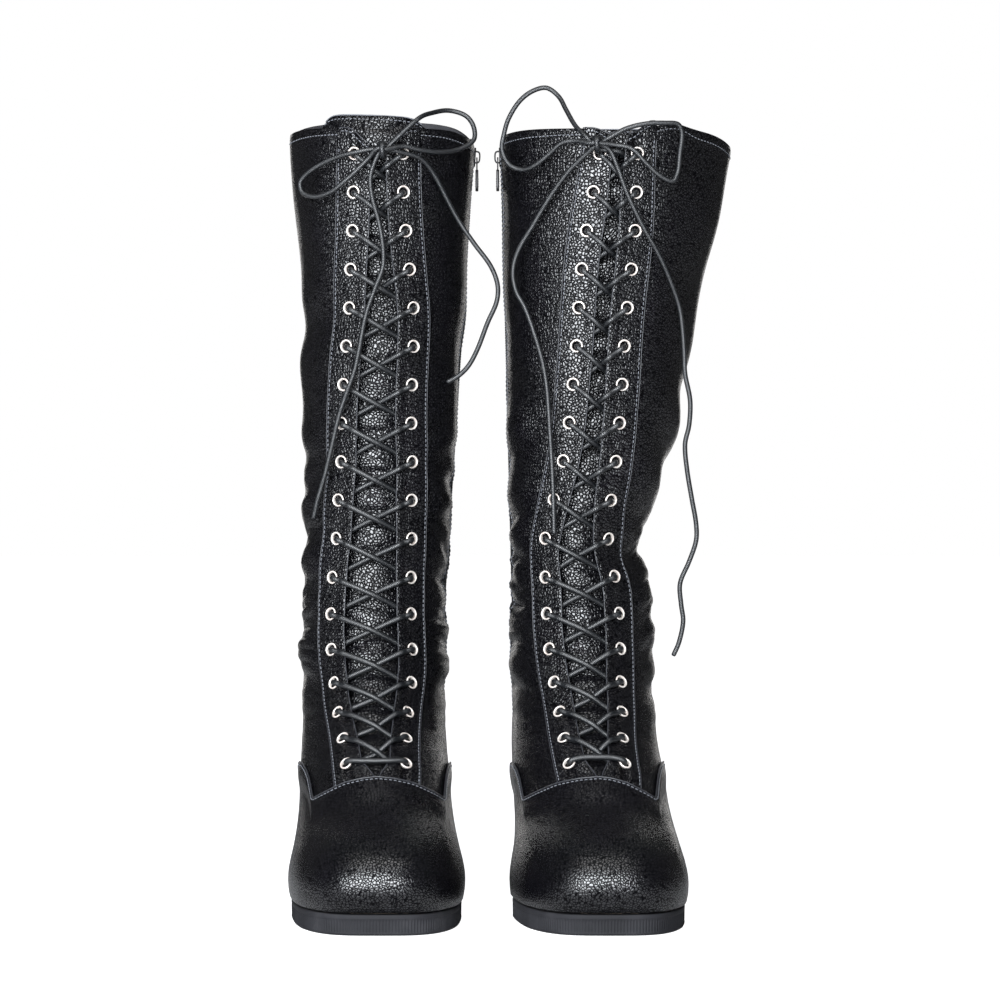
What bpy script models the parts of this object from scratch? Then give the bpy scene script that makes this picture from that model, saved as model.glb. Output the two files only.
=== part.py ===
"""Pair of knee-high lace-up boxing boots with inner side zips, built from separate
pieces. Metres, +Z up, toes towards -Y. The right boot (worn on the right foot)
stands at -X and the left boot at +X, so both zips face each other."""
import math

import bpy
import numpy as np

# ---------------------------------------------------------------- dimensions
MM = 0.001
GAP = 0.3 * MM  # clearance between touching pieces
SOLE_TOP = 11.4 * MM
FLOOR_Z = 0.0
FEATHER_Z = 12.0 * MM  # lowest point of the upper
# The numbers below are laid out about a point between the boots. The model's own
# origin is on the floor at the middle of the pair's footprint.
FOOTPRINT_MIDDLE = (0.01276, -0.05647, 0.0)

# Front centre line and back centre line of the last, ring by ring:
# (front y, front z, back y, back z)
RINGS = [
    (-0.1880, 0.0128, 0.0775, 0.0128),
    (-0.1945, 0.0200, 0.0815, 0.0180),
    (-0.1955, 0.0300, 0.0830, 0.0250),
    (-0.1900, 0.0400, 0.0830, 0.0320),
    (-0.1780, 0.0485, 0.0825, 0.0380),
    (-0.1600, 0.0570, 0.0815, 0.0450),
    (-0.1400, 0.0670, 0.0800, 0.0520),
    (-0.1220, 0.0790, 0.0780, 0.0600),
    (-0.1040, 0.0935, 0.0755, 0.0700),
    (-0.0890, 0.1060, 0.0725, 0.0800),
    (-0.0740, 0.1220, 0.0690, 0.0950),
    (-0.0620, 0.1420, 0.0640, 0.1150),
    (-0.0545, 0.1650, 0.0600, 0.1400),
    (-0.0505, 0.1900, 0.0580, 0.1700),
    (-0.0490, 0.2200, 0.0580, 0.2050),
    (-0.0490, 0.2600, 0.0600, 0.2500),
    (-0.0500, 0.3000, 0.0630, 0.2950),
    (-0.0510, 0.3400, 0.0660, 0.3380),
    (-0.0530, 0.3800, 0.0690, 0.3820),
    (-0.0550, 0.4200, 0.0710, 0.4290),
    (-0.0570, 0.4550, 0.0730, 0.4740),
]
TOP_V = len(RINGS) - 1
# Corner roundness of each ring, front half and back half (2 is an ellipse).
FRONT_N = [(0, 3.6), (3, 3.0), (6, 2.35), (9, 2.05), (20, 2.05)]
BACK_N = [(0, 2.5), (6, 2.3), (10, 2.05), (20, 2.05)]
# Foot plan: share of the full half width from heel (-1) to toe (+1).
PLAN = [(-1.0, 0.80), (-0.6, 0.76), (-0.2, 0.78), (0.15, 0.92), (0.4, 1.0), (0.75, 1.0), (1.0, 0.96)]
PLAN_FADE = [(0, 1.0), (3, 1.0), (7, 0.7), (10, 0.3), (12, 0.0), (20, 0.0)]
FOOT_HALF = [(0.012, 0.0478), (0.019, 0.0500), (0.026, 0.0502), (0.036, 0.0478), (0.047, 0.0455), (0.060, 0.0448), (0.077, 0.0449), (0.100, 0.0434)]

# Per boot: side of the body the zip faces, foot centre, foot yaw, and the
# outer and inner edge lines of the shaft (z, x).
BOOTS = {
    "right": dict(
        m=1.0,
        foot_x=-0.0700,
        yaw=0.052,
        outer=[(0.117, -0.1120), (0.130, -0.1123), (0.153, -0.1125), (0.177, -0.1110), (0.200, -0.1123), (0.213, -0.1103), (0.237, -0.1115), (0.255, -0.1097), (0.273, -0.1120), (0.297, -0.1125), (0.320, -0.1113), (0.345, -0.1097), (0.369, -0.1130), (0.393, -0.1155), (0.417, -0.1180), (0.457, -0.1197), (0.480, -0.1205)],
        inner=[(0.117, -0.0285), (0.129, -0.0275), (0.141, -0.0268), (0.155, -0.0272), (0.170, -0.0285), (0.450, -0.0105), (0.480, -0.0086)],
        spacing=[13.5, 14.0, 14.8, 16.7, 18.4, 19.3, 19.6, 20.0, 20.5, 21.2, 22.0, 23.2, 24.0, 24.4, 23.3, 20.9, 18.3, 16.6],
    ),
    "left": dict(
        m=-1.0,
        foot_x=0.0545,
        yaw=0.060,
        outer=[(0.117, 0.0975), (0.129, 0.0975), (0.153, 0.0963), (0.177, 0.0945), (0.189, 0.0940), (0.201, 0.0885), (0.208, 0.0862), (0.225, 0.0915), (0.237, 0.0950), (0.249, 0.1010), (0.273, 0.1090), (0.297, 0.1137), (0.321, 0.1180), (0.345, 0.1215), (0.369, 0.1263), (0.393, 0.1323), (0.417, 0.1377), (0.441, 0.1430), (0.480, 0.1480)],
        inner=[(0.117, 0.0135), (0.130, 0.0122), (0.150, 0.0125), (0.170, 0.0138), (0.450, 0.0069), (0.480, 0.0062)],
        spacing=[10.4, 12.2, 14.0, 14.1, 13.6, 13.4, 13.9, 14.1, 14.8, 16.0, 18.2, 20.4, 21.3, 21.0, 19.4, 18.2, 16.9, 15.4],
    ),
}

# Lacing
ROWS = 18
ROW_ONE = 0.0160  # first eyelet row below the topline
PITCH_SHAFT = 0.0224
PITCH_INSTEP = 0.0214
SHAFT_ROWS = 12
FACING_IN = 9.5 * MM  # eyelet centre to the facing's free edge
FACING_OUT = 11.0 * MM  # eyelet centre to its sewn edge
LEAST_HALF_GAP = 3.6 * MM
EYELET_HOLE = 2.3 * MM
EYELET_RIM = 3.5 * MM
FACING_HOLE = 3.9 * MM
EYELET_SIDES = 5
LACE_R = 1.5 * MM
LACE_SIDES = 4

# Layers, measured outwards from the inner face of the upper
UPPER = (0.0, 1.2 * MM)
LINING = (-1.5 * MM, -0.3 * MM)
SHAFT_LINING = (-1.8 * MM, -0.7 * MM)
FACING = (2.05 * MM, 3.1 * MM)
STAY = (0.2 * MM, 1.2 * MM)
EYELET_TOP = 3.8 * MM
TONGUE = (-6.2 * MM, -4.2 * MM)
TONGUE_HALF = 0.024
# Half width of the tongue's head, and how far its middle stands over the front of the topline
TONGUE_HEAD = {"right": (0.0345, 0.0085), "left": (0.0260, 0.0005)}

# Zip
ZIP_TOP_Z = 0.4500
ZIP_BOTTOM_Z = 0.1620
ZIP_Y_TOP = 0.0080
ZIP_Y_BOTTOM = 0.0020
ZIP_EDGE = 5.6 * MM  # centre line to the leather edge
ZIP_CLEAR = 9.8 * MM  # centre line to the lining edge
TAPE_HALF = 8.0 * MM
TAPE_LEVEL = (-1.9 * MM, -1.3 * MM)
COIL_LEVEL = (-1.0 * MM, 0.6 * MM)
COIL_INNER = 0.6 * MM
COIL_OUTER = 2.7 * MM
SLIDER_LENGTH = 11.0 * MM
SLIDER_HALF = 4.3 * MM
SLIDER_TOP = (0.9 * MM, 1.9 * MM)
SLIDER_BOTTOM = (-3.2 * MM, -2.2 * MM)
PULL_LENGTH = 20.0 * MM


# ---------------------------------------------------------------- helpers
def clear_scene():
    for obj in list(bpy.data.objects):
        bpy.data.objects.remove(obj, do_unlink=True)


def table(pairs, x):
    xs = [p[0] for p in pairs]
    return np.interp(x, xs, [p[1] for p in pairs])


def soft_table(pairs, x, reach):
    """The table read as the mean of five taps, so that its corners are rounded."""
    total = 0.0
    for k in (-1.0, -0.5, 0.0, 0.5, 1.0):
        total = total + table(pairs, np.asarray(x) + k * reach)
    return total / 5.0


RING_ARRAY = np.array(RINGS)


def ring_ends(v):
    """Front and back centre points of ring v, by a Catmull-Rom curve."""
    v = min(max(v, 0.0), float(TOP_V))
    i = min(int(v), TOP_V - 1)
    t = v - i
    p1, p2 = RING_ARRAY[i], RING_ARRAY[i + 1]
    p0 = RING_ARRAY[i - 1] if i > 0 else 2 * p1 - p2
    p3 = RING_ARRAY[i + 2] if i + 2 <= TOP_V else 2 * p2 - p1
    return 0.5 * (2 * p1 + (p2 - p0) * t + (2 * p0 - 5 * p1 + 4 * p2 - p3) * t * t + (3 * p1 - p0 - 3 * p2 + p3) * t ** 3)


def front_lengths():
    vs = np.linspace(0, TOP_V, 2001)
    pts = np.array([ring_ends(v)[:2] for v in vs])
    steps = np.hypot(*np.diff(pts, axis=0).T)
    down = np.concatenate([[0.0], np.cumsum(steps[::-1])])
    return down, vs[::-1]


FRONT_DOWN, FRONT_V = front_lengths()


def v_below(distance):
    """Ring number this far below the topline, measured along the front."""
    return float(np.interp(distance, FRONT_DOWN, FRONT_V))


def row_distance(row):
    if row <= SHAFT_ROWS:
        return ROW_ONE + (row - 1) * PITCH_SHAFT
    return ROW_ONE + (SHAFT_ROWS - 1) * PITCH_SHAFT + (row - SHAFT_ROWS) * PITCH_INSTEP


SEAM_BELOW = 0.0105
SEAM_CENTRE = row_distance(ROWS) + SEAM_BELOW  # vamp seam on the centre line


def line_distance(j):
    """Cross lines between the eyelet rows: 0 is the topline, j is below row j."""
    if j == 0:
        return 0.0
    if j >= ROWS:
        return row_distance(ROWS) + 0.0092
    return 0.5 * (row_distance(j) + row_distance(j + 1))


class Boot:
    def __init__(self, side):
        data = BOOTS[side]
        self.side = side
        self.m = data["m"]
        self.yaw = data["yaw"]
        foot = data["foot_x"]
        m = self.m
        low = [(z, foot - m * h) for z, h in FOOT_HALF]
        high = [(z, foot + m * h) for z, h in FOOT_HALF]
        self.outer = low + data["outer"]
        self.inner = high + data["inner"]
        self.spacing = data["spacing"]
        self.rings = {}

    def centre_x(self, y, z):
        mid = 0.5 * (soft_table(self.outer, z, 0.008) + soft_table(self.inner, z, 0.008))
        fade = np.clip((0.170 - np.asarray(z)) / 0.090, 0, 1)
        return mid - self.yaw * np.asarray(y) * fade

    def half(self, z):
        return 0.5 * np.abs(soft_table(self.inner, z, 0.008) - soft_table(self.outer, z, 0.008))

    def ring(self, v):
        key = round(v, 6)
        if key in self.rings:
            return self.rings[key]
        fy, fz, by, bz = ring_ends(v)
        phi = np.linspace(0, math.pi, 161)
        c, s = np.cos(phi), np.abs(np.sin(phi))
        n = np.where(c >= 0, table(FRONT_N, v), table(BACK_N, v))
        along = np.sign(c) * np.abs(c) ** (2 / n)
        across = s ** (2 / n)
        y = 0.5 * (fy + by) + 0.5 * (fy - by) * along
        z = 0.5 * (fz + bz) + 0.5 * (fz - bz) * along
        plan = 1 - (1 - table(PLAN, along)) * table(PLAN_FADE, v)
        wide = self.half(z) * across * plan
        mid = self.centre_x(y, z)
        found = []
        for sign in (1.0, -1.0):
            pts = np.stack([mid + sign * self.m * wide, y, z], axis=1)
            run = np.concatenate([[0.0], np.cumsum(np.linalg.norm(np.diff(pts, axis=0), axis=1))])
            found.append((pts, run))
        self.rings[key] = found
        return found

    def half_length(self, v, sign=1):
        return self.ring(v)[0 if sign > 0 else 1][1][-1]

    def at(self, u, v):
        """Point of the last surface: u 0 at the front centre, 1 at the inner-side back centre, -1 round the outer side."""
        v = min(max(v, 0.0), float(TOP_V))
        while u > 1.0:
            u -= 2.0
        while u < -1.0:
            u += 2.0
        pts, run = self.ring(v)[0 if u >= 0 else 1]
        d = abs(u) * run[-1]
        return np.array([np.interp(d, run, pts[:, k]) for k in range(3)])

    def normal(self, u, v):
        du, dv = 0.006, 0.04
        a = self.at(u + du, v) - self.at(u - du, v)
        lo, hi = max(v - dv, 0.0), min(v + dv, float(TOP_V))
        b = self.at(u, hi) - self.at(u, lo)
        n = np.cross(a, b) * self.m
        return n / np.linalg.norm(n)

    def off(self, u, v, height):
        return self.at(u, v) + self.normal(u, v) * height

    def mm_to_u(self, mm, v):
        """Signed distance from the front centre (+ inner side) as u."""
        return mm / self.half_length(v, 1 if mm >= 0 else -1)

    # eyelet columns -------------------------------------------------
    def column(self, distance):
        """Distance from the front centre line to an eyelet column, this far below the topline."""
        ds = [row_distance(r + 1) for r in range(ROWS)]
        return float(np.interp(distance, ds, np.array(self.spacing) * MM))

    def facing_in(self, distance):
        return max(self.column(distance) - FACING_IN, LEAST_HALF_GAP)

    def facing_out(self, distance):
        return self.column(distance) + FACING_OUT

    # zip line -------------------------------------------------------
    def zip_point(self, z):
        t = (z - ZIP_BOTTOM_Z) / (ZIP_TOP_Z - ZIP_BOTTOM_Z)
        y = ZIP_Y_BOTTOM + (ZIP_Y_TOP - ZIP_Y_BOTTOM) * t
        return np.array([float(soft_table(self.inner, z, 0.008)), y, z])

    def zip_u(self, v):
        """u where ring v meets the zip line."""
        pts, run = self.ring(v)[0]
        t = np.clip((pts[:, 2] - ZIP_BOTTOM_Z) / (ZIP_TOP_Z - ZIP_BOTTOM_Z), -0.3, 1.3)
        y = ZIP_Y_BOTTOM + (ZIP_Y_TOP - ZIP_Y_BOTTOM) * t
        over = pts[:, 1] - y
        i = int(np.argmax(over >= 0))
        i = max(i, 1)
        f = -over[i - 1] / (over[i] - over[i - 1])
        return (run[i - 1] + f * (run[i] - run[i - 1])) / run[-1]


MATERIALS = {}


def material(name, colour, roughness, metallic=0.0):
    mat = bpy.data.materials.new(name)
    mat.use_nodes = True
    node = mat.node_tree.nodes["Principled BSDF"]
    node.inputs["Base Color"].default_value = (*colour, 1.0)
    node.inputs["Roughness"].default_value = roughness
    node.inputs["Metallic"].default_value = metallic
    mat.diffuse_color = (*colour, 1.0)
    return mat


LOOKS = {
    "leather": ((0.018, 0.018, 0.021), 0.42, 0.0),
    "lining": ((0.16, 0.16, 0.17), 0.8, 0.0),
    "rubber": ((0.060, 0.060, 0.064), 0.75, 0.0),
    "nickel": ((0.66, 0.61, 0.60), 0.28, 1.0),
    "cord": ((0.030, 0.034, 0.040), 0.5, 0.0),
    "fabric": ((0.02, 0.02, 0.022), 0.85, 0.0),
    "coil": ((0.015, 0.015, 0.016), 0.45, 0.0),
    "zip_metal": ((0.02, 0.02, 0.022), 0.32, 1.0),
    "board": ((0.30, 0.24, 0.17), 0.9, 0.0),
    "foam": ((0.05, 0.05, 0.055), 0.9, 0.0),
    "stiffener": ((0.55, 0.52, 0.46), 0.8, 0.0),
}


def volume(points, faces):
    p = points[faces]
    return np.einsum("ij,ij->i", p[:, 0], np.cross(p[:, 1], p[:, 2])).sum() / 6


def add(name, points, faces, look, origin=None, smooth=False):
    points = np.asarray(points, float)
    faces = np.asarray(faces, int)
    if volume(points, faces) < 0:
        faces = faces[:, ::-1]
    middle = np.array(FOOTPRINT_MIDDLE)
    origin = middle if origin is None else np.asarray(origin, float)
    mesh = bpy.data.meshes.new(name)
    mesh.from_pydata([tuple(p) for p in points - origin], [], [tuple(int(i) for i in f) for f in faces])
    mesh.update()
    for poly in mesh.polygons:
        poly.use_smooth = smooth
    obj = bpy.data.objects.new(name, mesh)
    obj.location = origin - middle
    colour, rough, metal = LOOKS[look]
    mesh.materials.append(material(name, colour, rough, metal))
    bpy.context.scene.collection.objects.link(obj)
    return obj


def shell(boot, name, grid, levels, look, clip=FEATHER_Z):
    """Closed thin shell over a grid of (u, v) pairs, between two offsets. The same diagonal is used on both faces."""
    rows, cols = len(grid), len(grid[0])
    lo, hi = [], []
    for row in grid:
        for u, v in row:
            p, n = boot.at(u, v), boot.normal(u, v)
            a, b = p + n * levels[0], p + n * levels[1]
            a[2], b[2] = max(a[2], clip), max(b[2], clip)
            lo.append(a)
            hi.append(b)
    count = rows * cols
    faces = []

    def k(i, j):
        return i * cols + j

    for i in range(rows - 1):
        for j in range(cols - 1):
            a, b, c, d = k(i, j), k(i, j + 1), k(i + 1, j + 1), k(i + 1, j)
            faces += [(a, b, c), (a, c, d)]
            faces += [(a + count, c + count, b + count), (a + count, d + count, c + count)]
    rim = [k(0, j) for j in range(cols)] + [k(i, cols - 1) for i in range(1, rows)]
    rim += [k(rows - 1, j) for j in range(cols - 2, -1, -1)] + [k(i, 0) for i in range(rows - 2, 0, -1)]
    for a, b in zip(rim, rim[1:] + rim[:1]):
        faces += [(b, a, a + count), (b, a + count, b + count)]
    return add(name, lo + hi, faces, look)


def bridge(outer, inner, angles_out, angles_in):
    """Triangles between two loops of points round one centre, matched by angle."""
    faces = []
    turn = 2 * math.pi
    away = [abs((t - angles_out[0] + math.pi) % turn - math.pi) for t in angles_in]
    first = away.index(min(away))
    inner = list(inner[first:]) + list(inner[:first])
    base = angles_out[0]
    near = (angles_in[first] - base + math.pi) % turn - math.pi
    angles_out = [base + (t - base) % turn for t in angles_out]
    angles_in = [base + near + (t - angles_in[first]) % turn for t in list(angles_in[first:]) + list(angles_in[:first])]
    no, ni = len(outer), len(inner)
    ao = np.unwrap(np.array(list(angles_out) + [angles_out[0] + 2 * math.pi]))
    ai = np.unwrap(np.array(list(angles_in) + [angles_in[0] + 2 * math.pi]))
    i = j = 0
    while i < no or j < ni:
        if j >= ni or (i < no and ao[i + 1] <= ai[j + 1]):
            faces.append((outer[i], outer[(i + 1) % no], inner[j % ni]))
            i += 1
        else:
            faces.append((outer[i % no], inner[(j + 1) % ni], inner[j]))
            j += 1
    return faces


def frame_tube(path, radius, sides, flat=1.0):
    """Points and faces of a closed tube along a path, with parallel-carried frames."""
    path = np.asarray(path, float)
    n = len(path)
    tang = np.zeros_like(path)
    seg = path[1:] - path[:-1]
    seg /= np.linalg.norm(seg, axis=1)[:, None]
    tang[0], tang[-1] = seg[0], seg[-1]
    for i in range(1, n - 1):
        t = seg[i - 1] + seg[i]
        tang[i] = t / max(np.linalg.norm(t), 1e-9)
    ref = np.array([0.0, 1.0, 0.0])
    if abs(tang[0] @ ref) > 0.9:
        ref = np.array([1.0, 0.0, 0.0])
    side = ref - tang[0] * (ref @ tang[0])
    side /= np.linalg.norm(side)
    points = []
    for i in range(n):
        side = side - tang[i] * (side @ tang[i])
        side /= np.linalg.norm(side)
        up = np.cross(tang[i], side)
        for k in range(sides):
            a = 2 * math.pi * (k + 0.5) / sides
            points.append(path[i] + radius * (math.cos(a) * side * flat + math.sin(a) * up))
    faces = []
    for i in range(n - 1):
        for k in range(sides):
            a, b = i * sides + k, i * sides + (k + 1) % sides
            c, d = b + sides, a + sides
            faces += [(a, b, c), (a, c, d)]
    for k in range(1, sides - 1):
        faces.append((0, k + 1, k))
        e = (n - 1) * sides
        faces.append((e, e + k, e + k + 1))
    return np.array(points), np.array(faces)


def prism(outline, z0, z1):
    """Straight-sided solid over a plan outline given as (x, y) points."""
    n = len(outline)
    pts = [(x, y, z0) for x, y in outline] + [(x, y, z1) for x, y in outline]
    faces = []
    # The outline is a closed foot shape listed from toe round to toe: zip its two sides.
    half = n // 2
    for i in range(half - 1):
        a, b = i, i + 1
        c, d = (n - 1 - i), (n - i) % n
        quad = [d, a, b, c]
        tris = [(quad[0], quad[1], quad[2]), (quad[0], quad[2], quad[3])]
        for t in tris:
            if len(set(t)) == 3:
                faces.append(t[::-1])
                faces.append(tuple(k + n for k in t))
    mid = half - 1
    last = (mid, mid + 1, n - 1 - mid + 0)
    if len(set(last)) == 3:
        faces.append(last[::-1])
        faces.append(tuple(k + n for k in last))
    for i in range(n):
        j = (i + 1) % n
        faces += [(i, j, j + n), (i, j + n, i + n)]
    return pts, faces


def box_mesh(centre, axes, spans):
    """Box with its own axes; spans are (low, high) along each axis."""
    pts = []
    for k in (0, 1):
        for j in (0, 1):
            for i in (0, 1):
                pts.append(centre + axes[0] * spans[0][i] + axes[1] * spans[1][j] + axes[2] * spans[2][k])
    quads = [(0, 2, 3, 1), (4, 5, 7, 6), (0, 1, 5, 4), (2, 6, 7, 3), (0, 4, 6, 2), (1, 3, 7, 5)]
    faces = []
    for a, b, c, d in quads:
        faces += [(a, b, c), (a, c, d)]
    return pts, faces


# ---------------------------------------------------------------- seam lines
# Upper edge of the vamp: (share of the half way round, ring number)
VAMP_EDGE = [(0.0, 7.05), (0.07, 6.80), (0.14, 6.45), (0.27, 5.85), (0.31, 7.10), (0.38, 7.80), (0.48, 7.45), (0.62, 6.40), (0.74, 6.80), (0.84, 7.50), (0.94, 8.00), (1.0, 8.10), (1.06, 8.00)]
VAMP_COLUMNS = [0.0, 0.07, 0.14, 0.20, 0.27, 0.31, 0.38, 0.48, 0.62]
VAMP_ROWS = [0.0, 0.10, 0.22, 0.38, 0.58, 0.80, 1.0]
HEEL_COLUMNS = [0.632, 0.74, 0.84, 0.94, 1.0, 1.06, 1.16, 1.26, 1.368]
HEEL_ROWS = [0.0, 0.18, 0.42, 0.70, 1.0]
SEAM_GAP = 0.09  # in rings
FREE_LINE = 12  # cross lines from the topline down to this one stay level


def edge_v(u):
    u = abs(u)
    if u > 1.0:
        u = 2.0 - u
    return float(table(VAMP_EDGE, u))


def line_v(j, u):
    """Ring number of cross line j at u; the lower lines fan down to the vamp edge."""
    v = v_below(line_distance(j))
    if j <= FREE_LINE:
        return v
    top, low = v_below(line_distance(FREE_LINE)), v_below(line_distance(ROWS))
    foot = edge_v(u) + SEAM_GAP
    return foot + (top - foot) * (v - low) / (top - low)


def facing_u(boot, sign, j, which):
    """u of a facing edge at cross line j: 'in', 'out', 'under' (quarter's hidden edge) or 'stay_in', 'stay_out'."""
    d = line_distance(j)
    mm = {
        "in": boot.facing_in(d),
        "out": boot.facing_out(d),
        "under": boot.facing_out(d) - 5.0 * MM,
        "stay_in": boot.facing_in(d) + 1.5 * MM,
        "stay_out": boot.facing_out(d) - 6.4 * MM,
    }[which]
    v = v_below(d)
    return sign * mm / boot.half_length(v, sign)


def mix(a, b, t):
    return a + (b - a) * t


def quarter_columns(boot, sign, part, j):
    """u of every column of a quarter panel on cross line j."""
    v = v_below(line_distance(j))
    top, low = v_below(line_distance(FREE_LINE)), v_below(line_distance(ROWS))
    w = min(max((top - v) / (top - low), 0.0), 1.0) ** 1.5
    length = boot.half_length(v, sign)
    if part == "outer":
        first, last = abs(facing_u(boot, sign, j, "under")), 0.94
        low_cols = [0.14, 0.27, 0.31, 0.38, 0.48, 0.62, 0.74, 0.84]
        n = len(low_cols)
        cols = [mix(mix(first, last, (k + 1) / (n + 1)), low_cols[k], w) for k in range(n)]
        return [sign * c for c in [first] + cols + [last]]
    zip_u = boot.zip_u(v)
    z = boot.at(zip_u, v)[2]
    close = min(max((z - 0.136) / 0.016, 0.0), 1.0)
    edge = mix(0.35 * MM, ZIP_EDGE, close) / length
    clear = mix(3.0 * MM, ZIP_CLEAR, close) / length
    if part == "front":
        first = abs(facing_u(boot, sign, j, "under"))
        last, last2 = zip_u - edge, zip_u - clear
        low_cols = [0.14, 0.27, 0.31, 0.38, 0.48]
        n = len(low_cols)
        cols = [mix(mix(first, last2, (k + 1) / (n + 1)), low_cols[k], w) for k in range(n)]
        return [first] + cols + [last2, last]
    first, first2, last = zip_u + edge, zip_u + clear, 0.94
    low_cols = [0.74, 0.84]
    n = len(low_cols)
    cols = [mix(mix(first2, last, (k + 1) / (n + 1)), low_cols[k], w) for k in range(n)]
    return [first, first2] + cols + [last]


QUARTER_LINES = [0, 2, 4, 5, 6, 7, 8, 9, 10, 11, 12, 13, 14, 15, 16, 17, 18]


def quarter_grid(boot, sign, part):
    return [[(u, line_v(j, u)) for u in quarter_columns(boot, sign, part, j)] for j in QUARTER_LINES]


# ---------------------------------------------------------------- pieces
def foot_outline(boot, outwards, steps=14):
    """Plan outline of the lowest ring: inner side from toe to heel, then outer side back."""
    def point(u):
        p, n = boot.at(u, 0.0), boot.normal(u, 0.0)
        n = np.array([n[0], n[1], 0.0])
        n /= np.linalg.norm(n)
        q = p + n * outwards
        return (q[0], q[1])

    us = [0.5 * (1 - math.cos(math.pi * k / steps)) * 0.55 + 0.45 * k / steps for k in range(steps + 1)]
    return [point(u) for u in us], [point(-u) for u in us[1:-1]]


def slab(name, boot, levels, look, steps=14, insets=None):
    """Solid of stacked foot outlines: levels is a list of (z, outward offset)."""
    points, faces = [], []
    rings = []
    for z, out in levels:
        inner, outer = foot_outline(boot, out, steps)
        loop = inner + outer[::-1]
        rings.append(list(range(len(points), len(points) + len(loop))))
        points += [(x, y, z) for x, y in loop]
    n = len(rings[0])
    for a, b in zip(rings, rings[1:]):
        for i in range(n):
            j = (i + 1) % n
            faces += [(a[i], a[j], b[j]), (a[i], b[j], b[i])]
    for ring, flip in ((rings[0], True), (rings[-1], False)):
        for i in range(n // 2):
            quad = [ring[-i % n], ring[i], ring[i + 1], ring[(n - i - 1) % n]]
            for t in ((quad[0], quad[1], quad[2]), (quad[0], quad[2], quad[3])):
                if len(set(t)) == 3:
                    faces.append(t[::-1] if flip else t)
    return add(name, points, faces, look)


def holed_strip(boot, name, sign, which_in, which_out, levels, hole, look, ring=None):
    """A lace stay with one many-sided hole per eyelet row. With a ring radius given, a metal collar stands on it round every hole."""
    points, faces = [], []

    def put(u, v, height):
        p = boot.off(u, v, height)
        points.append(p)
        return len(points) - 1

    lo, hi = levels
    lines = []
    for j in range(ROWS + 1):
        ui, uo = facing_u(boot, sign, j, which_in), facing_u(boot, sign, j, which_out)
        uc = sign * boot.column(line_distance(j)) / boot.half_length(v_below(line_distance(j)), sign)
        vi, vc, vo = line_v(j, ui), line_v(j, uc), line_v(j, uo)
        lines.append((put(ui, vi, lo), put(uc, vc, lo), put(uo, vo, lo), put(ui, vi, hi), put(uc, vc, hi), put(uo, vo, hi)))
    for r in range(1, ROWS + 1):
        a, b = lines[r - 1], lines[r]
        d = row_distance(r)
        v0 = v_below(d)
        scale_v = (v_below(d - 0.002) - v_below(d + 0.002)) / 0.004
        length = boot.half_length(v0, sign)
        column = boot.column(d) / length * sign

        def circle(radius, height):
            found = []
            for k in range(EYELET_SIDES):
                t = 2 * math.pi * (k + 0.5) / EYELET_SIDES
                found.append(put(column + radius * math.cos(t) / length, v0 + radius * math.sin(t) * scale_v, height))
            return found

        angles_in = [2 * math.pi * (k + 0.5) / EYELET_SIDES for k in range(EYELET_SIDES)]
        corner_uv = []
        for j, which in ((r - 1, which_in), (r - 1, None), (r - 1, which_out), (r, which_out), (r, None), (r, which_in)):
            if which is None:
                dj = line_distance(j)
                u = sign * boot.column(dj) / boot.half_length(v_below(dj), sign)
            else:
                u = facing_u(boot, sign, j, which)
            corner_uv.append(((u - column) * length, (line_v(j, u) - v0) / scale_v))
        corners_lo = [a[0], a[1], a[2], b[2], b[1], b[0]]
        corners_hi = [a[3], a[4], a[5], b[5], b[4], b[3]]
        angles = [math.atan2(y, x) for x, y in corner_uv]
        order = sorted(range(6), key=lambda k: angles[k] % (2 * math.pi))
        corners_lo = [corners_lo[k] for k in order]
        corners_hi = [corners_hi[k] for k in order]
        angles_out = [angles[k] % (2 * math.pi) for k in order]
        low_hole = circle(hole, lo)
        n = EYELET_SIDES
        if ring is None:
            high_hole = circle(hole, hi)
            faces_hi = bridge(corners_hi, high_hole, angles_out, angles_in)
            walls = [(low_hole, high_hole)]
        else:
            base, top_out, top_in = circle(ring, hi), circle(ring, EYELET_TOP), circle(hole, EYELET_TOP)
            faces_hi = bridge(corners_hi, base, angles_out, angles_in)
            walls = [(low_hole, top_in), (top_in, top_out), (top_out, base)]
        faces_lo = bridge(corners_lo, low_hole, angles_out, angles_in)
        faces += faces_hi + [f[::-1] for f in faces_lo]
        for p, q in walls:
            for k in range(n):
                k2 = (k + 1) % n
                faces += [(p[k], q[k2], p[k2]), (p[k], q[k], q[k2])]
    # free edges and the two ends
    def side_faces(i):
        found = []
        for a, b in zip(lines, lines[1:]):
            found += [(a[i], b[i], b[i + 3]), (a[i], b[i + 3], a[i + 3])]
        return found

    inner, outer = side_faces(0), side_faces(2)
    t, e = lines[0], lines[-1]
    top_end, low_end = [], []
    for i in (0, 1):
        top_end += [(t[i], t[i + 3], t[i + 4]), (t[i], t[i + 4], t[i + 1])]
        low_end += [(e[i], e[i + 1], e[i + 4]), (e[i], e[i + 4], e[i + 3])]
    faces = consistent(faces, inner + outer + top_end + low_end)
    return add(name, points, faces, look)


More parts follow.
